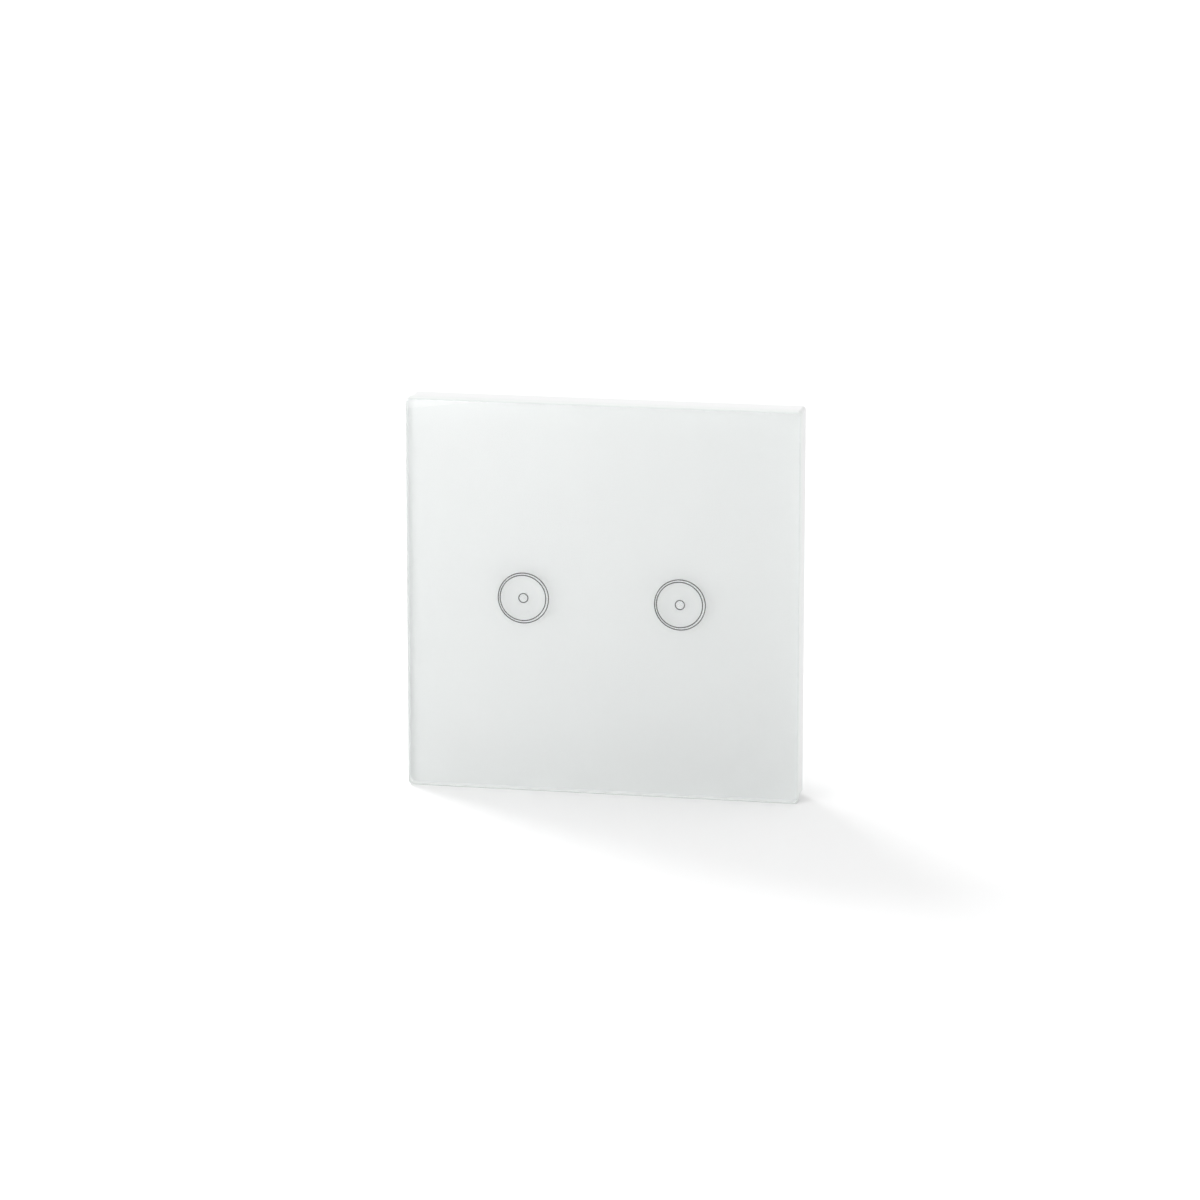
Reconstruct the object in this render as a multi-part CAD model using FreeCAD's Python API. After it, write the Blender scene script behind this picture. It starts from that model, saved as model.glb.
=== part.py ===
import FreeCAD, Part
import math
import os

# A two-key smart light switch with a square glass touch panel, for a square-plate wall box.
# X is right and Z is up. The wall plane is y = 0, the user stands on the -Y side, and the
# module that goes into the wall box is on the +Y side. All lengths are in millimetres.
# The origin is halfway between the two box screws, in the wall plane.

V = FreeCAD.Vector
ALONG_X = V(1, 0, 0)
ALONG_Y = V(0, 1, 0)
ALONG_Z = V(0, 0, 1)

# Driving sizes of the whole switch
PLATE_SIDE = 86.0
VISIBLE_DEPTH = 9.0
MODULE_DEPTH = 27.0
SCREW_SPACING = 60.0
KEY_SPACING = 34.2

# Running gaps between pieces
SLIDE_GAP = 0.3
SEAT_GAP = 0.3
SCREW_GAP = 0.05
BOARD_GAP = 0.3
WALL_GAP = 0.4
OVERCUT = 0.1
MOULD_BITE = 0.5

# Glass, print and tape
GLASS_T = 3.0
GLASS_CORNER_R = 1.0
GLASS_ARRIS = 0.3
PRINT_T = 0.1
PRINT_MARGIN = 0.6
RING_OUT_R = 5.52
RING_IN_R = 5.0
RING_IN_SHIFT = 0.09
DOT_R = 1.0
MARK_LINE_W = 0.22
MARK_DEPTH = 0.1
TAPE_T = 0.2
TAPE_MARGIN = 1.0
TAPE_W = 5.0

# Moulded carrier behind the glass
CARRIER_INSET = 0.3
CARRIER_CORNER_R = 0.8
CARRIER_WALL = 1.5
CARRIER_WEB = 1.2
PRY_NOTCH_W = 12.0
PRY_NOTCH_H = 2.0
STAKE_R = 0.7
STAKE_RISE = 0.3
STAKE_SHIFT = 2.2

# Leaf clips that hold the panel to the frame
CLIP_T = 0.4
CLIP_W = 8.0
CLIP_AT_X = 24.0
CLIP_FOOT = 4.2
CLIP_BUMP = 1.2
CLIP_BUMP_LEN = 2.0
CLIP_LEAD = 0.35
CLIP_CREST_Y = -1.9
CLIP_TO_RIM = 0.6
CLIP_WINDOW_PLAY = 0.5
CLIP_WINDOW_BITE = 0.1

# Frame at the wall
FRAME_PLATE_T = 2.0
FRAME_CORNER_R = 1.2
RIM_T = 1.4
COLLAR_T = 1.2
COLLAR_H = 1.0
FRAME_RIB_T = 1.2
FRAME_RIB_H = 1.2
FRAME_RIB_AT = (11.0, 21.0)
BOX_SCREW_R = 2.15
SLOT_TRAVEL = 3.0
SLOT_PAD_W = 10.0
SLOT_PAD_H = 0.5
MODULE_MARGIN = 1.35
LEG_T = 1.9
LEG_W = 4.4
LEG_ROOT = 1.0
LEDGE_T = 1.2
LEDGE_REACH = 1.0

# Inner cover with the two light rings
COVER_T = 1.2
COVER_CORNER_R = 1.5
COVER_EDGE = 0.4
COVER_POST_R = 1.5
COVER_POST_X = 10.0
COVER_POST_Z = 19.0
LIGHT_OUT_R = 6.0
LIGHT_IN_R = 4.6
LIGHT_FLANGE_R = 6.6
LIGHT_FLANGE_T = 0.7
COVER_SCREW_R = 1.0
COVER_SCREW_HEAD_R = 2.0
COVER_SCREW_L = 3.2
COVER_CROSS = (1.1, 0.2)
COVER_CROSS_D = 0.5

# Touch springs
SPRING_WIRE = 0.5
SPRING_MEAN_R = 3.6
SPRING_TURNS = 3
SPRING_FLATS = 6
SPRING_LEG = 0.5
SPRING_BEND = 0.8
GAP_STEP = 0.1

# Touch board and its parts
BOARD_T = 1.6
TOUCH_BOARD_REAR_Y = 0.6
LED_SIZE = (1.6, 0.8)
LED_T = 0.6
LED_CIRCLE_R = 5.3
CHIP_L = 9.9
CHIP_W = 3.9
CHIP_T = 1.4
CHIP_LEADS = 8
CHIP_LEAD_W = 0.4
CHIP_LEAD_T = 0.2
CHIP_LIFT = 0.1
CHIP_LEAD_REACH = 1.0
RADIO_W = 15.0
RADIO_L = 17.0
RADIO_T = 0.8
RADIO_TOP_Z = -2.0
AERIAL_L = 5.1
SHIELD_MARGIN = 1.2
SHIELD_H = 2.2
SHIELD_WALL = 0.3
SHIELD_CORNER_R = 0.6
HEADER_Z = 18.5
HEADER_PINS = 8
HEADER_PITCH = 2.54
HEADER_W = 2.5
HEADER_BODY_H = 2.5
HEADER_PIN = 0.6
HEADER_PLAY = 0.1
SOCKET_FLOOR = 0.4

# Housing of the module
HOUSING_WALL = 1.6
HOUSING_ROUND_R = 28.5
HOUSING_EDGE_R = 1.0
HOUSING_SEAT = 0.5
HOUSING_SEAT_PLAY = 0.2
POST_R = 3.6
POST_INSET = 7.5
HOUSING_SCREW_R = 1.3
HOUSING_SCREW_HEAD_R = 2.2
HOUSING_SCREW_HEAD_T = 1.8
HOUSING_SCREW_EDGE = 0.5
HOUSING_CROSS = (1.3, 0.25)
HOUSING_CROSS_D = 0.8
HOUSING_SCREW_GRIP = 2.2
COUNTERBORE_R = 2.6
COUNTERBORE_DEPTH = 2.4
VENTS = 7
VENT_W = 1.6
VENT_L = 9.0
VENT_CORNER_R = 0.7
VENT_PITCH = 3.6
VENT_Z = 9.5
PARTITION_T = 1.2

# Power board
ROOM_OVER_RELAYS = 2.5
PIN_R = 0.35
PIN_HOLE_R = 0.5
PIN_FLATS = 6
PIN_TAIL = 1.0

# Rising-cage terminals
POLES = 4
PITCH = 6.35
POLE_SPLIT = 0.05
POLE_WALL = 0.6
POLE_LEN_Z = 11.0
POLE_TOP_Z = -13.8
POLE_BACK_GAP = 0.4
ENTRY_R = 1.7
ENTRY_WALL = 2.0
CAGE_TRAVEL = 3.0
CAGE_W = 4.7
CAGE_LEN_Z = 5.5
CAGE_SIDE = 0.7
CAGE_NUT = 1.6
CAGE_FLOOR = 0.9
CAGE_WINDOW = 5.0
CAGE_PLAY = 0.4
TERMINAL_SCREW_R = 1.5
TERMINAL_SHANK_PLAY = 0.2
TERMINAL_HEAD_R = 2.2
TERMINAL_HEAD_T = 2.0
TERMINAL_HEAD_SINK = 1.0
TERMINAL_LEDGE = 0.8
DRIVER_HOLE_R = 2.4
SLOT_CUT_W = 0.6
SLOT_CUT_D = 0.9
TONGUE_T = 0.8
TONGUE_W = 2.6
TONGUE_LEG_GAP = 0.7

# Relays
RELAY_L = 17.6
RELAY_W = 10.1
RELAY_H = 12.3
RELAY_WALL = 0.6
RELAY_EDGE = 0.4
RELAY_BASE_T = 1.6
RELAY_FIT = 0.05
RELAY_PIN_INSET = 1.6
RELAY_FAR_PIN_INSET = 4.6
RELAY_PIN_HALF = 3.0
RELAY_SPACING = 20.4
RELAY_Z = -6.8
RELAY_COIL_R = 3.4
RELAY_COIL_AT = 6.6
RELAY_FLANGE_T = 0.7
RELAY_FLANGE_HALF = 3.7
RELAY_TUBE_R = 2.0
RELAY_CORE_R = 1.5
CORE_PROUD = 0.2
YOKE_T = 1.0
YOKE_LIFT = 0.2
YOKE_GAP = 0.1
YOKE_LEG_T = 1.4
YOKE_HALF_W = 3.0
YOKE_PAST_CORE = 1.0
HINGE_DROP = 0.1
HEEL_R = 0.5
HEEL_GAP = 0.05
ARMATURE_T = 0.8
ARMATURE_HALF_W = 2.8
ARMATURE_OVERHANG = 0.9
ARMATURE_GAP = 0.1
ARMATURE_STROKE_DEG = 4.2
BLADE_T = 0.25
BLADE_HALF_W = 1.6
BLADE_START = 3.0
BLADE_TIP_GAP = 0.4
BLADE_ROOM = 0.55
CONTACT_R = 1.1
CONTACT_T = 1.1
CONTACT_INSET = 1.3
FIXED_LEAF_T = 0.7
FIXED_LEAF_GAP = 0.2
FIXED_BUTTON_T = 0.7

# Loose parts on the power board
CORE_W = 11.0
CORE_D = 5.0
CORE_H = 10.4
CORE_LIMB = 1.5
CORE_MID_LIMB = 2.8
TRANSFORMER_X = -7.5
TRANSFORMER_Z = 7.5
TRANSFORMER_FOOT = 1.2
TRANSFORMER_PIN_INSET = 1.0
COIL_GAP = 0.2
COIL_OVERHANG = 2.1
COIL_CORNER_R = 1.0
COIL_CHEEK_INSET = 1.0
BULK_R = 4.0
BULK_H = 12.0
BULK_X = 6.5
BULK_Z = 16.0
OUTPUT_R = 3.15
OUTPUT_H = 7.0
OUTPUT_X = -17.5
OUTPUT_Z = 7.5
CAN_GROOVE = 0.35
CAN_GROOVE_UP = 1.6
CAN_GROOVE_HALF = 0.5
CAN_FOOT_EDGE = 0.3
CAN_TOP_EDGE = 0.4
CAN_LEAD_SPACING_SHARE = 0.45
VARISTOR_R = 4.5
VARISTOR_T = 3.5
VARISTOR_EDGE = 1.0
VARISTOR_STAND_OFF = 1.0
VARISTOR_X = 18.0
VARISTOR_Z = 7.0
FUSE_L = 8.4
FUSE_W = 4.0
FUSE_H = 7.7
FUSE_CORNER_R = 1.0
FUSE_LEAD_SPACING = 5.08
FUSE_X = 8.5
FUSE_Z = 5.5
RECTIFIER_L = 4.7
RECTIFIER_W = 4.0
RECTIFIER_T = 2.4
RECTIFIER_LIFT = 0.1
RECTIFIER_LEAD_AT = 1.25
RECTIFIER_LEAD_W = 0.7
RECTIFIER_LEAD_T = 0.3
RECTIFIER_LEAD_REACH = 1.0
RECTIFIER_X = -7.5
RECTIFIER_Z = 17.5
LEAD_STAND_OFF = 0.3

# Places along the depth, from the glass face back to the wall
GLASS_BACK_Y = GLASS_T - VISIBLE_DEPTH
PRINT_BACK_Y = GLASS_BACK_Y + PRINT_T
CARRIER_FRONT_Y = PRINT_BACK_Y + TAPE_T
WEB_BACK_Y = CARRIER_FRONT_Y + CARRIER_WEB
COVER_FRONT_Y = WEB_BACK_Y + SEAT_GAP
COVER_BACK_Y = COVER_FRONT_Y + COVER_T
FRAME_FRONT_Y = -FRAME_PLATE_T
TOUCH_BOARD_FRONT_Y = TOUCH_BOARD_REAR_Y - BOARD_T
LIGHT_FRONT_Y = PRINT_BACK_Y + SEAT_GAP
LIGHT_REAR_Y = COVER_BACK_Y + LIGHT_FLANGE_T
HOUSING_FLOOR_Y = MODULE_DEPTH - HOUSING_WALL
POWER_BOARD_REAR_Y = HOUSING_FLOOR_Y - ROOM_OVER_RELAYS - RELAY_H
POWER_BOARD_FRONT_Y = POWER_BOARD_REAR_Y - BOARD_T

# Places across the switch, from the centre outwards
PLATE_HALF = PLATE_SIDE / 2
CARRIER_HALF = PLATE_HALF - CARRIER_INSET
CARRIER_IN_HALF = CARRIER_HALF - CARRIER_WALL
FRAME_HALF = CARRIER_IN_HALF - SLIDE_GAP
RIM_IN_HALF = FRAME_HALF - RIM_T
KEY_X = KEY_SPACING / 2
SLOT_HALF = SLOT_TRAVEL / 2 + BOX_SCREW_R
MODULE_HALF = SCREW_SPACING / 2 - SLOT_HALF - MODULE_MARGIN
HOUSING_IN_HALF = MODULE_HALF - HOUSING_WALL
OPENING_HALF = HOUSING_IN_HALF - BOARD_GAP / 2
BOARD_HALF = OPENING_HALF - BOARD_GAP
POST_AT = MODULE_HALF - POST_INSET
OPENING_CORNER = POST_AT - POST_R
BOARD_CORNER = OPENING_CORNER - BOARD_GAP
COLLAR_IN_HALF = max(KEY_X + LIGHT_FLANGE_R + SEAT_GAP, OPENING_HALF + BOARD_GAP)
COVER_HALF = COLLAR_IN_HALF + COLLAR_T
COVER_SCREW_AT = OPENING_HALF - COVER_SCREW_HEAD_R + BOARD_GAP / 2

# Places in the terminals
TERMINAL_BACK_Y = MODULE_DEPTH - POLE_BACK_GAP
TERMINAL_HEAD_BACK_Y = TERMINAL_BACK_Y - TERMINAL_HEAD_SINK
TERMINAL_HEAD_SEAT_Y = TERMINAL_HEAD_BACK_Y - TERMINAL_HEAD_T
CHAMBER_TOP_Y = TERMINAL_HEAD_SEAT_Y - TERMINAL_LEDGE
CAGE_TOP_Y = CHAMBER_TOP_Y - SEAT_GAP - CAGE_TRAVEL
CAGE_NUT_Y = CAGE_TOP_Y - CAGE_NUT
CAGE_FLOOR_Y = CAGE_NUT_Y - CAGE_WINDOW
CAGE_BOTTOM_Y = CAGE_FLOOR_Y - CAGE_FLOOR
TONGUE_TOP_Y = CAGE_NUT_Y - TONGUE_LEG_GAP
TONGUE_BOTTOM_Y = TONGUE_TOP_Y - TONGUE_T
WIRE_Y = (TONGUE_BOTTOM_Y + CAGE_FLOOR_Y) / 2
POLE_BOTTOM_Z = POLE_TOP_Z - POLE_LEN_Z
CHAMBER_BOTTOM_Z = POLE_BOTTOM_Z + ENTRY_WALL
CAGE_BOTTOM_Z = CHAMBER_BOTTOM_Z + CAGE_PLAY
CAGE_Z = CAGE_BOTTOM_Z + CAGE_LEN_Z / 2
TONGUE_LEG_Z = CAGE_BOTTOM_Z + CAGE_LEN_Z + TONGUE_LEG_GAP
CHAMBER_TOP_Z = TONGUE_LEG_Z + TONGUE_T + CAGE_PLAY
BLOCK_HALF = POLES * PITCH / 2
NOTCH_HALF = BLOCK_HALF + BOARD_GAP
NOTCH_TOP_Z = POLE_TOP_Z + BOARD_GAP

# Places along a relay, from its left end
HINGE_ALONG = RELAY_COIL_AT - RELAY_FLANGE_HALF - YOKE_GAP - YOKE_LEG_T / 2
FIXED_LEAF_ALONG = RELAY_L - RELAY_WALL - FIXED_LEAF_GAP - FIXED_LEAF_T
BLADE_END = FIXED_LEAF_ALONG - BLADE_TIP_GAP
CONTACT_ALONG = BLADE_END - CONTACT_INSET
ARMATURE_END = RELAY_COIL_AT + RELAY_FLANGE_HALF + ARMATURE_OVERHANG

# Heights in a relay, measured from the power board
BLADE_LIFT = (BLADE_END - HINGE_ALONG) * math.sin(math.radians(ARMATURE_STROKE_DEG))
PLATE_TOP = RELAY_H - RELAY_WALL - BLADE_ROOM - BLADE_LIFT - BLADE_T
PLATE_BOTTOM = PLATE_TOP - ARMATURE_T
POLE_FACE = PLATE_BOTTOM - ARMATURE_GAP
HINGE_UP = POLE_FACE - HINGE_DROP
BOBBIN_TOP = POLE_FACE - CORE_PROUD
COIL_TOP = BOBBIN_TOP - RELAY_FLANGE_T
YOKE_BOTTOM = RELAY_BASE_T + YOKE_LIFT
BOBBIN_BOTTOM = YOKE_BOTTOM + YOKE_T
COIL_BOTTOM = BOBBIN_BOTTOM + RELAY_FLANGE_T


def block(x0, x1, y0, y1, z0, z1):
    """A box between two places on each axis."""
    return Part.makeBox(x1 - x0, y1 - y0, z1 - z0, V(x0, y0, z0))


def rod_y(radius, y0, y1, x=0.0, z=0.0):
    """A round rod that lies along the depth."""
    return Part.makeCylinder(radius, y1 - y0, V(x, y0, z), ALONG_Y)


def pin_y(radius, y0, y1, x, z):
    """A thin pin or lead along the depth, with a few flats in place of a round."""
    turns = [2 * math.pi * (i + 0.5) / PIN_FLATS for i in range(PIN_FLATS)]
    points = [V(x + radius * math.cos(t), y0, z + radius * math.sin(t)) for t in turns]
    return Part.Face(Part.makePolygon(points + points[:1])).extrude(V(0, y1 - y0, 0))


def pin_hole_y(radius, y0, y1, x, z):
    """The hole of such a pin, whose flats lie at the radius."""
    return pin_y(radius / math.cos(math.pi / PIN_FLATS), y0, y1, x, z)


def rod_z(radius, z0, z1, x=0.0, y=0.0):
    """A round rod that stands upright."""
    return Part.makeCylinder(radius, z1 - z0, V(x, y, z0), ALONG_Z)


def rod_x(radius, x0, x1, y=0.0, z=0.0):
    """A round rod that lies from left to right."""
    return Part.makeCylinder(radius, x1 - x0, V(x0, y, z), ALONG_X)


def tube_y(out_r, in_r, y0, y1, x=0.0, z=0.0):
    """A round tube that lies along the depth."""
    return rod_y(out_r, y0, y1, x, z).cut(rod_y(in_r, y0, y1, x, z))


def runs_along(edge, direction):
    """True for a straight edge that is parallel to the direction."""
    if not isinstance(edge.Curve, Part.Line):
        return False
    return edge.tangentAt(edge.FirstParameter).cross(direction).Length < 1e-6


def round_along(solid, radius, direction):
    """The solid with each straight edge along the direction rounded."""
    edges = [e for e in solid.Edges if runs_along(e, direction)]
    return solid.makeFillet(radius, edges)


def square_plate(half, corner_r, y0, y1):
    """A square plate across the depth, with rounded corners."""
    plate = block(-half, half, y0, y1, -half, half)
    return round_along(plate, corner_r, ALONG_Y)


def edges_at_depth(solid, y):
    """The edges that lie whole in one plane across the depth."""
    box_of = [(e, e.BoundBox) for e in solid.Edges]
    return [e for e, b in box_of if abs(b.YMin - y) < 1e-6 and abs(b.YMax - y) < 1e-6]


def strip(points, thickness, x0, x1):
    """A bent leaf of even thickness: points are (y, z) along its middle."""
    sides = {1: [], -1: []}
    for i, (y, z) in enumerate(points):
        before = points[max(i - 1, 0)]
        here = points[i]
        after = points[min(i + 1, len(points) - 1)]
        into = V(0, here[0] - before[0], here[1] - before[1])
        out = V(0, after[0] - here[0], after[1] - here[1])
        into = into.normalize() if into.Length else V(out).normalize()
        out = out.normalize() if out.Length else V(into)
        half_way = (into + out).normalize()
        normal = ALONG_X.cross(half_way)
        reach = thickness / 2 / half_way.dot(into)
        for side, line in sides.items():
            line.append(V(x0, y, z) + normal * (side * reach))
    outline = sides[1] + sides[-1][::-1]
    face = Part.Face(Part.makePolygon(outline + outline[:1]))
    return face.extrude(V(x1 - x0, 0, 0))


def plus_shape(half, corner, y0, y1):
    """A square whose four corners are cut away, as a plus with wide arms."""
    wide = block(-half, half, y0, y1, -corner, corner)
    tall = block(-corner, corner, y0, y1, -half, half)
    return wide.fuse(tall).removeSplitter()


def four_ways(solid):
    """The solid and its copies turned to the other three sides of the square."""
    copies = []
    for quarter in range(4):
        turned = solid.copy()
        turned.rotate(V(0, 0, 0), ALONG_Y, 90.0 * quarter)
        copies.append(turned)
    return copies


def corners(at):
    """The four places that lie equally far from both middle lines."""
    return [(x, z) for x in (-at, at) for z in (-at, at)]


def fuse_all(solids):
    """One solid from overlapping or touching ones."""
    return solids[0].multiFuse(solids[1:]).removeSplitter()


def cut_all(solid, tools):
    """The solid less all the tools."""
    return solid.cut(Part.makeCompound(tools))


def save(name, solids):
    """Write one named piece, or a group of equal pieces."""
    shape = solids if isinstance(solids, Part.Shape) else Part.makeCompound(solids)
    shape.exportStep("parts/" + name + ".step")
    valid = "valid" if shape.isValid() else "NOT VALID"
    print(f"{name}: {len(shape.Solids)} solid(s), {shape.Volume:.1f} mm3, {valid}")


# Front panel
def ring_band(x, y0, y1, reach=0.0):
    """The band between the two lines of one ring, made wider on both sides by the reach."""
    outer = rod_y(RING_OUT_R + reach, y0, y1, x)
    return outer.cut(rod_y(RING_IN_R - reach, y0, y1, x - RING_IN_SHIFT))


def key_marks():
    """Enamel inlays in the glass face, a ring and a dot for each key, with their outlines."""
    front = -VISIBLE_DEPTH
    reach = MARK_LINE_W / 2
    marks = []
    for x in (-KEY_X, KEY_X):
        marks.append(ring_band(x, front, front + MARK_DEPTH, reach))
        marks.append(rod_y(DOT_R + reach, front, front + MARK_DEPTH, x))
    return marks


def glass_panel():
    """Tempered glass with rounded corners, ground edges and shallow beds for the key marks."""
    glass = square_plate(PLATE_HALF, GLASS_CORNER_R, -VISIBLE_DEPTH, GLASS_BACK_Y)
    ground = edges_at_depth(glass, -VISIBLE_DEPTH) + edges_at_depth(glass, GLASS_BACK_Y)
    return cut_all(glass.makeChamfer(GLASS_ARRIS, ground), key_marks())


def light_windows():
    """Milky ink in the print's openings, where the light of each key shows through."""
    windows = []
    for x in (-KEY_X, KEY_X):
        windows.append(ring_band(x, GLASS_BACK_Y, PRINT_BACK_Y))
        windows.append(rod_y(DOT_R, GLASS_BACK_Y, PRINT_BACK_Y, x))
    return windows


def screen_print():
    """White ink on the back of the glass, open at the light windows."""
    half = PLATE_HALF - PRINT_MARGIN
    ink = square_plate(half, GLASS_CORNER_R, GLASS_BACK_Y, PRINT_BACK_Y)
    return cut_all(ink, light_windows())


def adhesive_tape():
    """Frame of double-sided tape between the print and the carrier."""
    half = CARRIER_HALF - TAPE_MARGIN
    outer = block(-half, half, PRINT_BACK_Y, CARRIER_FRONT_Y, -half, half)
    inner_half = half - TAPE_W
    inner = block(-inner_half, inner_half, PRINT_BACK_Y, CARRIER_FRONT_Y, -inner_half, inner_half)
    return outer.cut(inner)


def clip_middle_z():
    """Height of the clip's straight leg above the centre of the switch."""
    return RIM_IN_HALF - CLIP_TO_RIM - CLIP_T / 2


def stake_places():
    """Where the carrier's heat stakes pass through the feet of the upper clips."""
    z = clip_middle_z() - CLIP_FOOT / 2
    shifts = (-STAKE_SHIFT, STAKE_SHIFT)
    return [(side * CLIP_AT_X + shift, z) for side in (-1, 1) for shift in shifts]


def panel_carrier():
    """Moulded frame with a web that carries the glass, and walls that reach to the wall."""
    shell = square_plate(CARRIER_HALF, CARRIER_CORNER_R, CARRIER_FRONT_Y, -WALL_GAP)
    cavity = square_plate(CARRIER_IN_HALF, CARRIER_CORNER_R, WEB_BACK_Y, -WALL_GAP)
    light_hole_r = LIGHT_OUT_R + SLIDE_GAP
    holes = [rod_y(light_hole_r, CARRIER_FRONT_Y, WEB_BACK_Y, x) for x in (-KEY_X, KEY_X)]
    notch = block(
        -PRY_NOTCH_W / 2,
        PRY_NOTCH_W / 2,
        -WALL_GAP - PRY_NOTCH_H,
        -WALL_GAP,
        -CARRIER_HALF,
        -CARRIER_IN_HALF,
    )
    carrier = cut_all(shell, [cavity, notch] + holes)
    stake_end = WEB_BACK_Y + CLIP_T + STAKE_RISE
    stakes = []
    for x, z in stake_places():
        for up in (-1, 1):
            stakes.append(rod_y(STAKE_R, WEB_BACK_Y, stake_end, x, up * z))
    return fuse_all([carrier] + stakes)


def snap_clip(x):
    """One spring-steel leaf: a foot on the web, a leg, and a crest for the frame's window."""
    leg_z = clip_middle_z()
    foot_y = WEB_BACK_Y + CLIP_T / 2
    half_crest = CLIP_BUMP_LEN / 2
    route = [
        (foot_y, leg_z - CLIP_FOOT),
        (foot_y, leg_z),
        (CLIP_CREST_Y - half_crest, leg_z),
        (CLIP_CREST_Y, leg_z + CLIP_BUMP),
        (CLIP_CREST_Y + half_crest, leg_z),
        (CLIP_CREST_Y + half_crest + CLIP_LEAD, leg_z - CLIP_LEAD),
    ]
    leaf = strip(route, CLIP_T, x - CLIP_W / 2, x + CLIP_W / 2)
    hole_r = STAKE_R + SCREW_GAP
    holes = [
        rod_y(hole_r, WEB_BACK_Y - OVERCUT, WEB_BACK_Y + CLIP_T + OVERCUT, px, pz)
        for px, pz in stake_places()
        if abs(px - x) < CLIP_W / 2
    ]
    return cut_all(leaf, holes)


def snap_clips():
    """Two clips at the top edge and their mirror images at the bottom edge."""
    upper = [snap_clip(x) for x in (-CLIP_AT_X, CLIP_AT_X)]
    lower = [clip.mirror(V(0, 0, 0), ALONG_Z) for clip in upper]
    return upper + lower


# Frame at the wall
def clip_windows():
    """Cutters for the windows in the rim and the passages in the plate, for all four clips."""
    half_w = CLIP_W / 2 + CLIP_WINDOW_PLAY
    leg_z = clip_middle_z()
    half_window = CLIP_BUMP_LEN / 2 - CLIP_WINDOW_BITE
    cutters = []
    for x in (-CLIP_AT_X, CLIP_AT_X):
        left, right = x - half_w, x + half_w
        window = block(
            left,
            right,
            CLIP_CREST_Y - half_window,
            CLIP_CREST_Y + half_window,
            RIM_IN_HALF - OVERCUT,
            FRAME_HALF,
        )
        passage = block(
            left, right, FRAME_FRONT_Y, 0, leg_z - CLIP_BUMP - CLIP_T, RIM_IN_HALF
        )
        cutters += [window, passage]
    return cutters + [c.mirror(V(0, 0, 0), ALONG_Z) for c in cutters]


def box_screw_slot(x, y0, y1, reach=0.0):
    """A slot along X for one box screw, made wider all round by the reach."""
    radius = BOX_SCREW_R + reach
    half = SLOT_TRAVEL / 2
    middle = block(x - half, x + half, y0, y1, -radius, radius)
    ends = [rod_y(radius, y0, y1, x + side * half) for side in (-1, 1)]
    return middle.multiFuse(ends).removeSplitter()


def board_leg():
    """One leg on the right side: it holds the power board and carries the touch board."""
    x1 = OPENING_HALF
    leg = block(x1 - LEG_T, x1, FRAME_FRONT_Y, POWER_BOARD_FRONT_Y, -LEG_W / 2, LEG_W / 2)
    ledge = block(
        x1 - LEG_T - LEDGE_REACH,
        x1 - LEG_T,
        TOUCH_BOARD_REAR_Y,
        TOUCH_BOARD_REAR_Y + LEDGE_T,
        -LEG_W / 2,
        LEG_W / 2,
    )
    root = block(x1, x1 + LEG_ROOT, FRAME_FRONT_Y, -HOUSING_SEAT, -LEG_W / 2, LEG_W / 2)
    return leg.fuse(ledge).fuse(root)


def frame_ribs():
    """Short stiffening ribs between the collar and the rim, the same on all four sides."""
    front = FRAME_FRONT_Y - FRAME_RIB_H
    ribs = []
    for at in FRAME_RIB_AT:
        for side in (-1, 1):
            z0 = side * at - FRAME_RIB_T / 2
            rib = block(COVER_HALF, RIM_IN_HALF, front, FRAME_FRONT_Y, z0, z0 + FRAME_RIB_T)
            ribs.append(rib)
    clear_of_clips = CLIP_AT_X - CLIP_W / 2 - CLIP_WINDOW_PLAY
    kept = []
    for rib in ribs:
        for turned in four_ways(rib):
            box = turned.BoundBox
            upright = box.ZLength > box.XLength
            if upright and max(abs(box.XMin), abs(box.XMax)) > clear_of_clips:
                continue
            kept.append(turned)
    return kept


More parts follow.
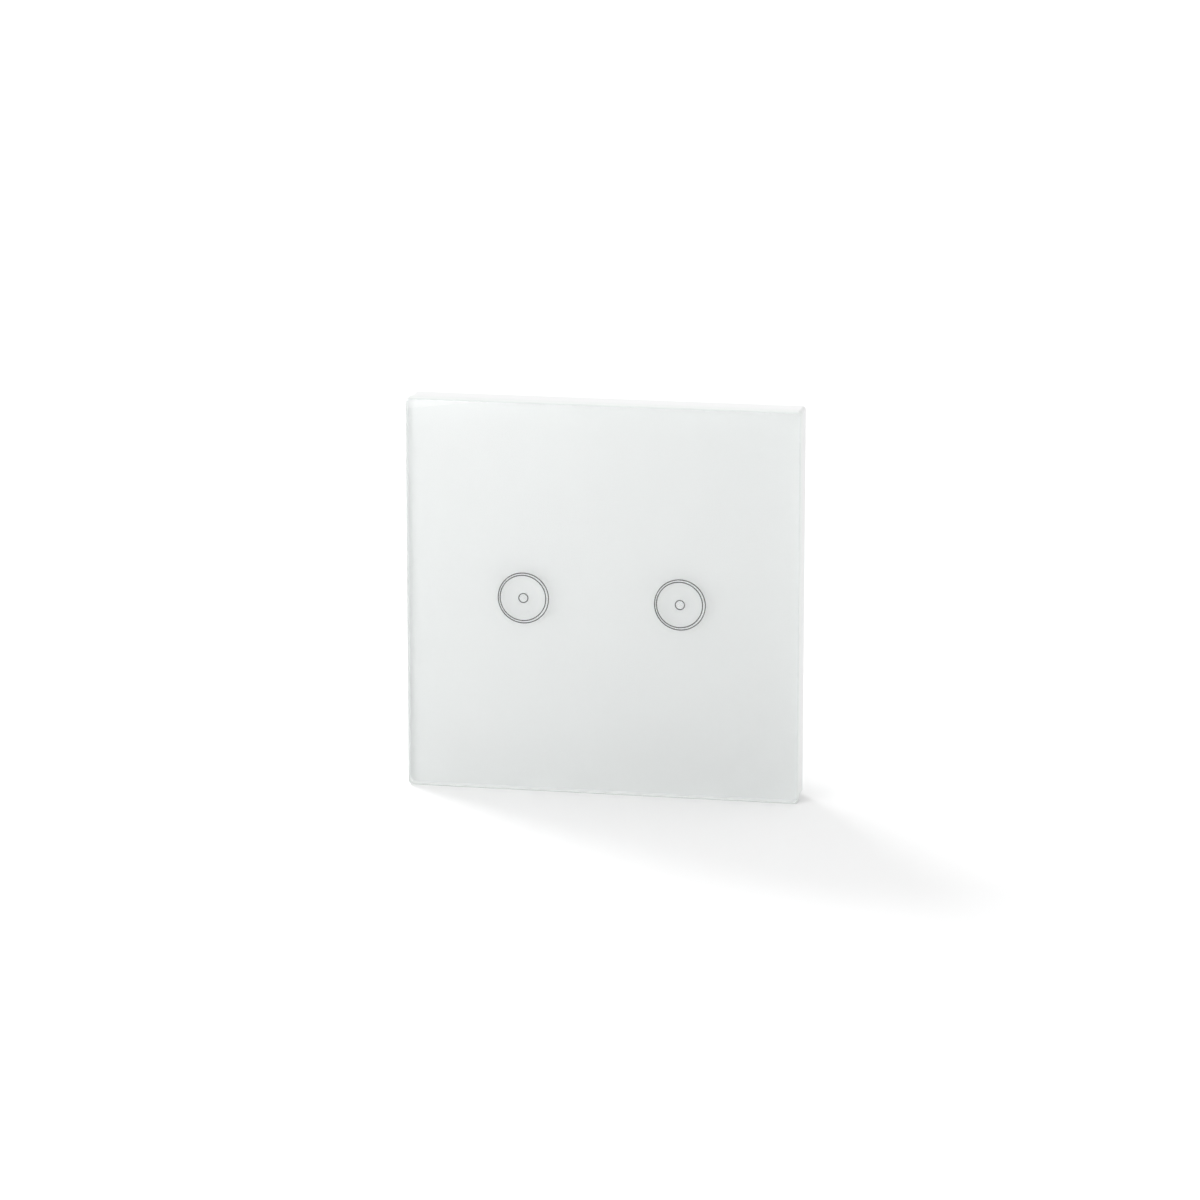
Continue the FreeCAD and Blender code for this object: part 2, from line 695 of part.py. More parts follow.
def base_frame():
    """Moulded frame: plate, rim with clip windows, collar, screw bosses, box screw slots, legs."""
    rim = square_plate(FRAME_HALF, FRAME_CORNER_R, COVER_FRONT_Y, 0)
    well = block(-RIM_IN_HALF, RIM_IN_HALF, COVER_FRONT_Y, FRAME_FRONT_Y, -RIM_IN_HALF, RIM_IN_HALF)
    body = rim.cut(well)
    collar = square_plate(COVER_HALF, COVER_CORNER_R, COVER_BACK_Y, FRAME_FRONT_Y)
    pads = [
        box_screw_slot(x, FRAME_FRONT_Y - SLOT_PAD_H, FRAME_FRONT_Y, SLOT_PAD_W / 2 - BOX_SCREW_R)
        for x in (-SCREW_SPACING / 2, SCREW_SPACING / 2)
    ]
    body = fuse_all([body, collar] + pads + frame_ribs())
    hollow = block(
        -COLLAR_IN_HALF, COLLAR_IN_HALF, COVER_BACK_Y, FRAME_FRONT_Y, -COLLAR_IN_HALF, COLLAR_IN_HALF
    )
    corner_bosses = [
        block(
            min(sx * OPENING_CORNER, sx * COLLAR_IN_HALF),
            max(sx * OPENING_CORNER, sx * COLLAR_IN_HALF),
            COVER_BACK_Y,
            FRAME_FRONT_Y,
            min(sz * OPENING_CORNER, sz * COLLAR_IN_HALF),
            max(sz * OPENING_CORNER, sz * COLLAR_IN_HALF),
        )
        for sx in (-1, 1)
        for sz in (-1, 1)
    ]
    body = cut_all(body, [hollow.cut(Part.makeCompound(corner_bosses))])
    opening = plus_shape(OPENING_HALF, OPENING_CORNER, COVER_BACK_Y, 0)
    seat_half = MODULE_HALF + HOUSING_SEAT_PLAY
    seat = rounded_module(seat_half, HOUSING_ROUND_R + HOUSING_SEAT_PLAY, -HOUSING_SEAT, 0)
    cuts = [opening, seat] + clip_windows()
    cuts += [
        box_screw_slot(x, FRAME_FRONT_Y - SLOT_PAD_H, 0)
        for x in (-SCREW_SPACING / 2, SCREW_SPACING / 2)
    ]
    cuts += [
        rod_y(COVER_SCREW_R + SCREW_GAP, COVER_BACK_Y, COVER_FRONT_Y + COVER_SCREW_L, x, z)
        for x, z in corners(COVER_SCREW_AT)
    ]
    cuts += [
        rod_y(HOUSING_SCREW_R + SCREW_GAP, -HOUSING_SCREW_GRIP, 0, x, z)
        for x, z in corners(POST_AT)
    ]
    return fuse_all([cut_all(body, cuts)] + four_ways(board_leg()))


def cross_recess(x, z, y0, y1, size):
    """Cutters for the cross recess of a screw head: size is half its length and half its width."""
    return [
        block(x - along, x + along, y0, y1, z - across, z + across)
        for along, across in (size, size[::-1])
    ]


def countersunk_screw(x, z):
    """One small countersunk screw with a cross recess."""
    head_depth = COVER_SCREW_HEAD_R - COVER_SCREW_R
    head = Part.makeCone(
        COVER_SCREW_HEAD_R, COVER_SCREW_R, head_depth, V(x, COVER_FRONT_Y, z), ALONG_Y
    )
    shank = rod_y(COVER_SCREW_R, COVER_FRONT_Y + head_depth, COVER_FRONT_Y + COVER_SCREW_L, x, z)
    recess = cross_recess(x, z, COVER_FRONT_Y, COVER_FRONT_Y + COVER_CROSS_D, COVER_CROSS)
    return cut_all(head.fuse(shank), recess)


def cover_screws():
    """The four screws of the inner cover."""
    return [countersunk_screw(x, z) for x, z in corners(COVER_SCREW_AT)]


def front_cover():
    """Inner cover with the light-ring holes, screw seats and the posts on the touch board."""
    plate = square_plate(COVER_HALF, COVER_CORNER_R, COVER_FRONT_Y, COVER_BACK_Y)
    plate = plate.makeChamfer(COVER_EDGE, edges_at_depth(plate, COVER_FRONT_Y))
    posts = [
        rod_y(COVER_POST_R, COVER_BACK_Y, TOUCH_BOARD_FRONT_Y, x, z)
        for x in (-COVER_POST_X, COVER_POST_X)
        for z in (-COVER_POST_Z, COVER_POST_Z)
    ]
    cuts = [
        rod_y(LIGHT_OUT_R + SCREW_GAP, COVER_FRONT_Y, COVER_BACK_Y, x) for x in (-KEY_X, KEY_X)
    ]
    head_r = COVER_SCREW_HEAD_R + SCREW_GAP
    shank_r = COVER_SCREW_R + SCREW_GAP
    for x, z in corners(COVER_SCREW_AT):
        seat = Part.makeCone(head_r, shank_r, head_r - shank_r, V(x, COVER_FRONT_Y, z), ALONG_Y)
        cuts += [seat, rod_y(shank_r, COVER_FRONT_Y, COVER_BACK_Y, x, z)]
    return cut_all(fuse_all([plate] + posts), cuts)


def light_ring(x):
    """Light guide of one key: a tube through the cover with a flange behind it."""
    tube = tube_y(LIGHT_OUT_R, LIGHT_IN_R, LIGHT_FRONT_Y, LIGHT_REAR_Y, x)
    flange = tube_y(LIGHT_FLANGE_R, LIGHT_IN_R, COVER_BACK_Y, LIGHT_REAR_Y, x)
    return tube.fuse(flange).removeSplitter()


def arc_edge(start, corner, end):
    """The arc that leaves start towards the corner and reaches end from it."""
    weight = start.distanceToPoint(end) / 2 / start.distanceToPoint(corner)
    middle = (start + end + corner * (2 * weight)) * (1 / (2 + 2 * weight))
    return Part.Arc(start, middle, end).toShape()


def biarc_edges(start, start_dir, end, end_dir):
    """Two arcs that join two points and keep the direction at both."""
    chord = end - start
    a = 2 * (1 - start_dir.dot(end_dir))
    b = 2 * chord.dot(start_dir + end_dir)
    c = -chord.dot(chord)
    reach = (math.sqrt(b * b - 4 * a * c) - b) / (2 * a)
    first = start + start_dir * reach
    second = end - end_dir * reach
    middle = (first + second) * 0.5
    return [arc_edge(start, first, middle), arc_edge(middle, second, end)]


def spring_helix():
    """Start and end depth of the turns of a touch spring, and the rise of one turn."""
    start_y = TOUCH_BOARD_FRONT_Y - SPRING_LEG - SPRING_BEND
    end_y = LIGHT_FRONT_Y + SPRING_WIRE / 2
    return start_y, end_y, (end_y - start_y) / SPRING_TURNS


def helix_point(x, turn):
    """Place and direction on the spring's turns, after so many turns."""
    start_y, _, rise = spring_helix()
    angle = 2 * math.pi * turn
    place = V(
        x + SPRING_MEAN_R * math.cos(angle), start_y + rise * turn, SPRING_MEAN_R * math.sin(angle)
    )
    ahead = V(-math.sin(angle), rise / (2 * math.pi * SPRING_MEAN_R), math.cos(angle))
    return place, ahead.normalize()


def wire_section(centre):
    """Section of the spring's wire, with a few flats in place of a round."""
    turns = [2 * math.pi * i / SPRING_FLATS for i in range(SPRING_FLATS)]
    points = [centre + V(math.cos(t), 0, math.sin(t)) * (SPRING_WIRE / 2) for t in turns]
    return Part.makePolygon(points + points[:1])


def touch_spring(x):
    """One wire from its foot on the board through a bend into the turns behind the glass."""
    place, ahead = helix_point(x, 0)
    corner = place - ahead * SPRING_BEND
    bend_start = corner + V(0, SPRING_BEND, 0)
    foot = V(bend_start.x, TOUCH_BOARD_FRONT_Y, bend_start.z)
    edges = [Part.LineSegment(foot, bend_start).toShape(), arc_edge(bend_start, corner, place)]
    quarters = 4 * SPRING_TURNS
    for i in range(quarters):
        start, start_dir = helix_point(x, i / 4)
        end, end_dir = helix_point(x, (i + 1) / 4)
        edges += biarc_edges(start, start_dir, end, end_dir)
    route = Part.Wire(edges)
    return route.makePipeShell([wire_section(foot)], True, False), route


def least_gap(route):
    """Smallest gap between turns of the spring's wire, measured on points along it."""
    points = route.discretize(Distance=GAP_STEP)
    apart = int(math.pi * SPRING_MEAN_R / GAP_STEP)
    nearest = min(
        p.distanceToPoint(q) for i, p in enumerate(points) for q in points[i + apart :]
    )
    return nearest - SPRING_WIRE


# Touch board and its parts
def touch_board():
    """Board in the frame's opening, notched for the four legs."""
    board = plus_shape(BOARD_HALF, BOARD_CORNER, TOUCH_BOARD_FRONT_Y, TOUCH_BOARD_REAR_Y)
    notch_half = LEG_W / 2 + BOARD_GAP
    notch = block(
        OPENING_HALF - LEG_T - BOARD_GAP,
        OPENING_HALF,
        TOUCH_BOARD_FRONT_Y,
        TOUCH_BOARD_REAR_Y,
        -notch_half,
        notch_half,
    )
    return cut_all(board, four_ways(notch))


def indicator_leds():
    """Four chips under each light ring and one in the middle of each spring."""
    length, width = LED_SIZE
    at = LED_CIRCLE_R / math.sqrt(2)
    places = [(sx * at, sz * at) for sx in (-1, 1) for sz in (-1, 1)] + [(0.0, 0.0)]
    chips = []
    for key_x in (-KEY_X, KEY_X):
        for dx, z in places:
            x = key_x + dx
            chips.append(
                block(
                    x - length / 2,
                    x + length / 2,
                    TOUCH_BOARD_FRONT_Y - LED_T,
                    TOUCH_BOARD_FRONT_Y,
                    z - width / 2,
                    z + width / 2,
                )
            )
    return chips


def touch_controller():
    """Small-outline chip that reads both keys, upright between them."""
    top = TOUCH_BOARD_FRONT_Y
    body = block(-CHIP_W / 2, CHIP_W / 2, top - CHIP_T, top - CHIP_LIFT, -CHIP_L / 2, CHIP_L / 2)
    reach = CHIP_W / 2 + CHIP_LEAD_REACH
    pitch = CHIP_L / CHIP_LEADS
    pieces = [body]
    for i in range(CHIP_LEADS):
        z = (i - (CHIP_LEADS - 1) / 2) * pitch
        z0, z1 = z - CHIP_LEAD_W / 2, z + CHIP_LEAD_W / 2
        pieces.append(block(-reach, reach, top - CHIP_LEAD_T, top, z0, z1))
    return fuse_all(pieces)


def wifi_module():
    """Radio board on the back of the touch board."""
    return block(
        -RADIO_W / 2,
        RADIO_W / 2,
        TOUCH_BOARD_REAR_Y,
        TOUCH_BOARD_REAR_Y + RADIO_T,
        RADIO_TOP_Z - RADIO_L,
        RADIO_TOP_Z,
    )


def wifi_shield():
    """Drawn steel can over the radio, clear of its aerial end."""
    y0 = TOUCH_BOARD_REAR_Y + RADIO_T
    half = RADIO_W / 2 - SHIELD_MARGIN
    z1 = RADIO_TOP_Z - SHIELD_MARGIN
    z0 = RADIO_TOP_Z - RADIO_L + AERIAL_L
    can = block(-half, half, y0, y0 + SHIELD_H, z0, z1)
    can = round_along(can, SHIELD_CORNER_R, ALONG_Y)
    in_half = half - SHIELD_WALL
    inside = block(
        -in_half, in_half, y0, y0 + SHIELD_H - SHIELD_WALL, z0 + SHIELD_WALL, z1 - SHIELD_WALL
    )
    return can.cut(inside)


def header_places():
    """X of each pin of the board-to-board connector."""
    return [(i - (HEADER_PINS - 1) / 2) * HEADER_PITCH for i in range(HEADER_PINS)]


def board_header():
    """Pin strip on the touch board, pins towards the power board."""
    half_l = HEADER_PINS * HEADER_PITCH / 2
    y0 = TOUCH_BOARD_REAR_Y
    body = block(
        -half_l, half_l, y0, y0 + HEADER_BODY_H, HEADER_Z - HEADER_W / 2, HEADER_Z + HEADER_W / 2
    )
    end = POWER_BOARD_FRONT_Y - SOCKET_FLOOR - HEADER_PLAY
    h = HEADER_PIN / 2
    pins = [
        block(x - h, x + h, y0 + HEADER_BODY_H, end, HEADER_Z - h, HEADER_Z + h)
        for x in header_places()
    ]
    return fuse_all([body] + pins)


def board_socket():
    """Socket strip on the power board that takes the header's pins."""
    half_l = HEADER_PINS * HEADER_PITCH / 2
    y0 = TOUCH_BOARD_REAR_Y + HEADER_BODY_H
    body = block(
        -half_l,
        half_l,
        y0,
        POWER_BOARD_FRONT_Y,
        HEADER_Z - HEADER_W / 2,
        HEADER_Z + HEADER_W / 2,
    )
    h = HEADER_PIN / 2 + HEADER_PLAY
    holes = [
        block(x - h, x + h, y0, POWER_BOARD_FRONT_Y - SOCKET_FLOOR, HEADER_Z - h, HEADER_Z + h)
        for x in header_places()
    ]
    return cut_all(body, holes)


# Housing of the module
def rounded_module(half, round_r, y0, y1):
    """The module's outline: a square whose corners follow the round wall box."""
    return block(-half, half, y0, y1, -half, half).common(rod_y(round_r, y0, y1))


def rear_housing():
    """Moulded box with screw columns, board stops, vents and a bay for the terminals."""
    shell = rounded_module(MODULE_HALF, HOUSING_ROUND_R, -HOUSING_SEAT, MODULE_DEPTH)
    shell = shell.makeChamfer(HOUSING_EDGE_R, edges_at_depth(shell, MODULE_DEPTH))
    in_round = HOUSING_ROUND_R - HOUSING_WALL
    inside = rounded_module(HOUSING_IN_HALF, in_round, -HOUSING_SEAT, HOUSING_FLOOR_Y)
    columns = [
        rod_y(POST_R, -HOUSING_SEAT, MODULE_DEPTH, x, z).common(shell) for x, z in corners(POST_AT)
    ]
    stop = block(
        OPENING_HALF - LEG_T,
        HOUSING_IN_HALF + MOULD_BITE,
        POWER_BOARD_REAR_Y,
        HOUSING_FLOOR_Y + MOULD_BITE,
        -LEG_W / 2,
        LEG_W / 2,
    )
    stops = [s for s in four_ways(stop) if s.BoundBox.Center.z > NOTCH_TOP_Z]
    out = NOTCH_HALF + PARTITION_T
    top = NOTCH_TOP_Z + PARTITION_T
    y0 = POWER_BOARD_REAR_Y
    bay_outer = block(
        -out, out, y0, HOUSING_FLOOR_Y + MOULD_BITE, -HOUSING_IN_HALF - MOULD_BITE, top
    )
    bay = block(-NOTCH_HALF, NOTCH_HALF, y0, MODULE_DEPTH, -MODULE_HALF, NOTCH_TOP_Z)
    holes = [bay]
    for x, z in corners(POST_AT):
        holes.append(rod_y(HOUSING_SCREW_R + SLIDE_GAP, -HOUSING_SEAT, MODULE_DEPTH, x, z))
        holes.append(
            rod_y(COUNTERBORE_R, MODULE_DEPTH - COUNTERBORE_DEPTH, MODULE_DEPTH, x, z)
        )
    for i in range(VENTS):
        x = (i - (VENTS - 1) / 2) * VENT_PITCH
        z0 = VENT_Z - VENT_L / 2
        vent = block(x - VENT_W / 2, x + VENT_W / 2, HOUSING_FLOOR_Y, MODULE_DEPTH, z0, z0 + VENT_L)
        holes.append(round_along(vent, VENT_CORNER_R, ALONG_Y))
    body = shell.cut(inside)
    body = fuse_all([body, bay_outer] + columns + stops)
    return cut_all(body, holes)


def housing_screws():
    """Four long pan-head screws from the back, through the columns into the frame."""
    seat = MODULE_DEPTH - COUNTERBORE_DEPTH
    top = seat + HOUSING_SCREW_HEAD_T
    screws = []
    for x, z in corners(POST_AT):
        shank = rod_y(HOUSING_SCREW_R, -HOUSING_SCREW_GRIP, seat, x, z)
        head = rod_y(HOUSING_SCREW_HEAD_R, seat, top, x, z)
        head = head.makeChamfer(HOUSING_SCREW_EDGE, edges_at_depth(head, top))
        recess = cross_recess(x, z, top - HOUSING_CROSS_D, top, HOUSING_CROSS)
        screws.append(cut_all(shank.fuse(head), recess))
    return screws


# Terminals
def pole_places():
    """X of each terminal pole."""
    return [(i - (POLES - 1) / 2) * PITCH for i in range(POLES)]


def terminal_pole(x):
    """One moulded pole: wire entry, cage chamber, screw ledge and driver hole."""
    half = PITCH / 2 - POLE_SPLIT / 2
    y0 = POWER_BOARD_REAR_Y
    pole = block(x - half, x + half, y0, TERMINAL_BACK_Y, POLE_BOTTOM_Z, POLE_TOP_Z)
    in_half = half - POLE_WALL
    chamber = block(
        x - in_half, x + in_half, y0, CHAMBER_TOP_Y, CHAMBER_BOTTOM_Z, CHAMBER_TOP_Z
    )
    entry = rod_z(ENTRY_R, POLE_BOTTOM_Z, CHAMBER_BOTTOM_Z, x, WIRE_Y)
    driver = rod_y(DRIVER_HOLE_R, TERMINAL_HEAD_SEAT_Y, TERMINAL_BACK_Y, x, CAGE_Z)
    shank_r = TERMINAL_SCREW_R + TERMINAL_SHANK_PLAY
    shank = rod_y(shank_r, CHAMBER_TOP_Y, TERMINAL_HEAD_SEAT_Y, x, CAGE_Z)
    return cut_all(pole, [chamber, entry, driver, shank])


def terminal_block():
    """The four poles, side by side."""
    return [terminal_pole(x) for x in pole_places()]


def terminal_tongue(x):
    """Contact strip that the wire is clamped against, with its leg down to the board."""
    tongue = block(
        x - TONGUE_W / 2,
        x + TONGUE_W / 2,
        TONGUE_BOTTOM_Y,
        TONGUE_TOP_Y,
        CAGE_BOTTOM_Z,
        TONGUE_LEG_Z + TONGUE_T,
    )
    leg = block(
        x - TONGUE_W / 2,
        x + TONGUE_W / 2,
        POWER_BOARD_REAR_Y,
        TONGUE_TOP_Y,
        TONGUE_LEG_Z,
        TONGUE_LEG_Z + TONGUE_T,
    )
    middle = TONGUE_LEG_Z + TONGUE_T / 2
    pin = pin_y(PIN_R, POWER_BOARD_FRONT_Y - PIN_TAIL, POWER_BOARD_REAR_Y, x, middle)
    return fuse_all([tongue, leg, pin])


def terminal_screw(x):
    """Slotted clamping screw: it turns in place and lifts the cage."""
    shank_end = TONGUE_TOP_Y + SEAT_GAP
    shank = rod_y(TERMINAL_SCREW_R, shank_end, TERMINAL_HEAD_SEAT_Y, x, CAGE_Z)
    head = rod_y(TERMINAL_HEAD_R, TERMINAL_HEAD_SEAT_Y, TERMINAL_HEAD_BACK_Y, x, CAGE_Z)
    slot = block(
        x - TERMINAL_HEAD_R,
        x + TERMINAL_HEAD_R,
        TERMINAL_HEAD_BACK_Y - SLOT_CUT_D,
        TERMINAL_HEAD_BACK_Y,
        CAGE_Z - SLOT_CUT_W / 2,
        CAGE_Z + SLOT_CUT_W / 2,
    )
    return shank.fuse(head).cut(slot)


def terminal_cage(x):
    """Folded steel cage: a threaded top, side walls and the floor that lifts the wire."""
    z0, z1 = CAGE_BOTTOM_Z, CAGE_BOTTOM_Z + CAGE_LEN_Z
    cage = block(x - CAGE_W / 2, x + CAGE_W / 2, CAGE_BOTTOM_Y, CAGE_TOP_Y, z0, z1)
    in_half = CAGE_W / 2 - CAGE_SIDE
    window = block(x - in_half, x + in_half, CAGE_FLOOR_Y, CAGE_NUT_Y, z0, z1)
    thread = rod_y(TERMINAL_SCREW_R + SCREW_GAP, CAGE_NUT_Y, CAGE_TOP_Y, x, CAGE_Z)
    return cut_all(cage, [window, thread])


# Relays, each from its left end: along is X, up is away from the power board
def relay_block(left, along0, along1, up0, up1, half_w):
    """A box inside one relay, centred on the relay's width."""
    y0 = POWER_BOARD_REAR_Y
    return block(left + along0, left + along1, y0 + up0, y0 + up1, RELAY_Z - half_w, RELAY_Z + half_w)


def relay_rod(left, radius, along, up0, up1):
    """A round rod inside one relay, square to the power board."""
    y0 = POWER_BOARD_REAR_Y
    return rod_y(radius, y0 + up0, y0 + up1, left + along, RELAY_Z)


def relay_pin_places(left):
    """Board places of the pins of one relay."""
    return [
        (left + along, RELAY_Z + across)
        for along in (RELAY_PIN_INSET, RELAY_L - RELAY_FAR_PIN_INSET)
        for across in (-RELAY_PIN_HALF, RELAY_PIN_HALF)
    ]


def relay_case(left):
    """Thin moulded case, open towards the board."""
    outer = relay_block(left, 0, RELAY_L, 0, RELAY_H, RELAY_W / 2)
    outer = outer.makeChamfer(RELAY_EDGE, edges_at_depth(outer, POWER_BOARD_REAR_Y + RELAY_H))
    wall = RELAY_WALL
    inner = relay_block(left, wall, RELAY_L - wall, 0, RELAY_H - wall, RELAY_W / 2 - wall)
    return outer.cut(inner)


def relay_base(left):
    """Base plate with its four pins."""
    gap = RELAY_WALL + RELAY_FIT
    plate = relay_block(left, gap, RELAY_L - gap, 0, RELAY_BASE_T, RELAY_W / 2 - gap)
    y0 = POWER_BOARD_FRONT_Y - PIN_TAIL
    pins = [pin_y(PIN_R, y0, POWER_BOARD_REAR_Y, x, z) for x, z in relay_pin_places(left)]
    return fuse_all([plate] + pins)


def relay_bobbin(left):
    """Bobbin with two square flanges."""
    flange0 = RELAY_COIL_AT - RELAY_FLANGE_HALF
    flange1 = RELAY_COIL_AT + RELAY_FLANGE_HALF
    flanges = [
        relay_block(left, flange0, flange1, up0, up1, RELAY_FLANGE_HALF)
        for up0, up1 in ((BOBBIN_BOTTOM, COIL_BOTTOM), (COIL_TOP, BOBBIN_TOP))
    ]
    tube = relay_rod(left, RELAY_TUBE_R, RELAY_COIL_AT, BOBBIN_BOTTOM, BOBBIN_TOP)
    bore = relay_rod(left, RELAY_CORE_R + RELAY_FIT, RELAY_COIL_AT, BOBBIN_BOTTOM, BOBBIN_TOP)
    return fuse_all(flanges + [tube]).cut(bore)


def relay_winding(left):
    """Copper winding as one round sleeve on the bobbin."""
    outer = relay_rod(left, RELAY_COIL_R, RELAY_COIL_AT, COIL_BOTTOM, COIL_TOP)
    return outer.cut(relay_rod(left, RELAY_TUBE_R, RELAY_COIL_AT, COIL_BOTTOM, COIL_TOP))


def relay_yoke(left):
    """L-shaped yoke with the core, and a groove for the armature's heel in its tip."""
    inner = RELAY_COIL_AT - RELAY_FLANGE_HALF - YOKE_GAP
    outer = inner - YOKE_LEG_T
    core_side = RELAY_COIL_AT + RELAY_CORE_R
    foot = relay_block(
        left, outer, core_side + YOKE_PAST_CORE, YOKE_BOTTOM, BOBBIN_BOTTOM, YOKE_HALF_W
    )
    leg = relay_block(left, outer, inner, YOKE_BOTTOM, HINGE_UP, YOKE_HALF_W)
    core = relay_rod(left, RELAY_CORE_R, RELAY_COIL_AT, BOBBIN_BOTTOM, POLE_FACE)
    rest = relay_block(left, outer, core_side, RELAY_BASE_T, YOKE_BOTTOM, YOKE_HALF_W - YOKE_LEG_T)
    groove = rod_z(
        HEEL_R + HEEL_GAP,
        RELAY_Z - YOKE_HALF_W,
        RELAY_Z + YOKE_HALF_W,
        left + HINGE_ALONG,
        POWER_BOARD_REAR_Y + HINGE_UP,
    )
    return fuse_all([foot, leg, core, rest]).cut(groove)


def opened(solid, left):
    """The solid turned from the drawn-in place to the released place of the armature."""
    turned = solid.copy()
    hinge = V(left + HINGE_ALONG, POWER_BOARD_REAR_Y + HINGE_UP, RELAY_Z)
    turned.rotate(hinge, ALONG_Z, ARMATURE_STROKE_DEG)
    return turned


def relay_armature(left):
    """Rocking plate with its heel in the yoke's groove, drawn released."""
    plate = relay_block(
        left, HINGE_ALONG - HEEL_R, ARMATURE_END, PLATE_BOTTOM, PLATE_TOP, ARMATURE_HALF_W
    )
    heel = rod_z(
        HEEL_R,
        RELAY_Z - ARMATURE_HALF_W,
        RELAY_Z + ARMATURE_HALF_W,
        left + HINGE_ALONG,
        POWER_BOARD_REAR_Y + HINGE_UP,
    )
    neck = relay_block(
        left,
        HINGE_ALONG - HEEL_R / 2,
        HINGE_ALONG + HEEL_R / 2,
        HINGE_UP,
        PLATE_BOTTOM,
        ARMATURE_HALF_W,
    )
    return opened(fuse_all([plate, heel, neck]), left)


def relay_blade(left):
    """Contact leaf on the armature with its contact at the far end, drawn released."""
    leaf = relay_block(
        left, HINGE_ALONG + BLADE_START, BLADE_END, PLATE_TOP, PLATE_TOP + BLADE_T, BLADE_HALF_W
    )
    contact = relay_rod(left, CONTACT_R, CONTACT_ALONG, PLATE_TOP - CONTACT_T, PLATE_TOP)
    return opened(leaf.fuse(contact), left)


def relay_fixed_contact(left):
    """Bent strip on the base with the contact that the blade's contact meets."""
    button_top = PLATE_TOP - CONTACT_T - ARMATURE_GAP
    shelf_top = button_top - FIXED_BUTTON_T
    upright = relay_block(
        left,
        FIXED_LEAF_ALONG,
        FIXED_LEAF_ALONG + FIXED_LEAF_T,
        RELAY_BASE_T,
        shelf_top,
        BLADE_HALF_W,
    )
    shelf = relay_block(
        left,
        CONTACT_ALONG - CONTACT_R,
        FIXED_LEAF_ALONG,
        shelf_top - FIXED_LEAF_T,
        shelf_top,
        BLADE_HALF_W,
    )
    button = relay_rod(left, CONTACT_R, CONTACT_ALONG, shelf_top, button_top)
    return fuse_all([upright, shelf, button])


# Loose parts on the power board
def lead_pair(x, z, spacing, up_to, along_x=True):
    """Two leads through the power board, and where they stand."""
    half = spacing / 2
    step_x, step_z = (half, 0.0) if along_x else (0.0, half)
    places = [(x - step_x, z - step_z), (x + step_x, z + step_z)]
    y0 = POWER_BOARD_FRONT_Y - PIN_TAIL
    return [pin_y(PIN_R, y0, up_to, px, pz) for px, pz in places], places


def transformer_half_w():
    """Half the width of the window part of the winding."""
    return CORE_W / 2 - CORE_LIMB - COIL_GAP


def transformer_pin_places():
    """Board places of the transformer's four pins."""
    half_x = CORE_W / 2 - TRANSFORMER_PIN_INSET
    half_z = CORE_D / 2 + COIL_OVERHANG - TRANSFORMER_PIN_INSET
    return [
        (TRANSFORMER_X + sx * half_x, TRANSFORMER_Z + sz * half_z)
        for sx in (-1, 1)
        for sz in (-1, 1)
    ]


def core_bottom_y():
    """Depth of the transformer core's lower bar."""
    return POWER_BOARD_REAR_Y + TRANSFORMER_FOOT


def transformer_core():
    """Ferrite core with two windows and a middle limb."""
    x, z = TRANSFORMER_X, TRANSFORMER_Z
    y0 = core_bottom_y()
    y1 = y0 + CORE_H
    core = block(x - CORE_W / 2, x + CORE_W / 2, y0, y1, z - CORE_D / 2, z + CORE_D / 2)
    windows = []
    for side in (-1, 1):
        near = side * CORE_MID_LIMB / 2
        far = side * (CORE_W / 2 - CORE_LIMB)
        windows.append(
            block(
                x + min(near, far),
                x + max(near, far),
                y0 + CORE_LIMB,
                y1 - CORE_LIMB,
                z - CORE_D / 2,
                z + CORE_D / 2,
            )
        )
    return cut_all(core, windows)


def transformer_coil():
    """Taped winding on a bobbin, with its foot plate and pins."""
    x, z = TRANSFORMER_X, TRANSFORMER_Z
    half_w = transformer_half_w()
    reach = CORE_D / 2 + COIL_OVERHANG
    y0 = core_bottom_y() + CORE_LIMB + COIL_GAP
    y1 = core_bottom_y() + CORE_H - CORE_LIMB - COIL_GAP
    winding = block(x - half_w, x + half_w, y0, y1, z - reach, z + reach)
    winding = round_along(winding, COIL_CORNER_R, ALONG_Y)
    limb_x = CORE_MID_LIMB / 2 + COIL_GAP / 2
    limb_z = CORE_D / 2 + COIL_GAP / 2
    hole = block(x - limb_x, x + limb_x, y0, y1, z - limb_z, z + limb_z)
    foot = block(
        x - CORE_W / 2,
        x + CORE_W / 2,
        POWER_BOARD_REAR_Y,
        core_bottom_y(),
        z - reach,
        z + reach,
    )
    cheeks = [
        block(
            x - half_w + COIL_CHEEK_INSET,
            x + half_w - COIL_CHEEK_INSET,
            core_bottom_y(),
            y0,
            min(z + side * limb_z, z + side * reach),
            max(z + side * limb_z, z + side * reach),
        )
        for side in (-1, 1)
    ]
    pin_y0 = POWER_BOARD_FRONT_Y - PIN_TAIL
    pins = [
        pin_y(PIN_R, pin_y0, POWER_BOARD_REAR_Y, px, pz) for px, pz in transformer_pin_places()
    ]
    return fuse_all([winding.cut(hole), foot] + cheeks + pins)


def can_lead_spacing(radius):
    """Distance between the leads of a can capacitor."""
    return 2 * radius * CAN_LEAD_SPACING_SHARE


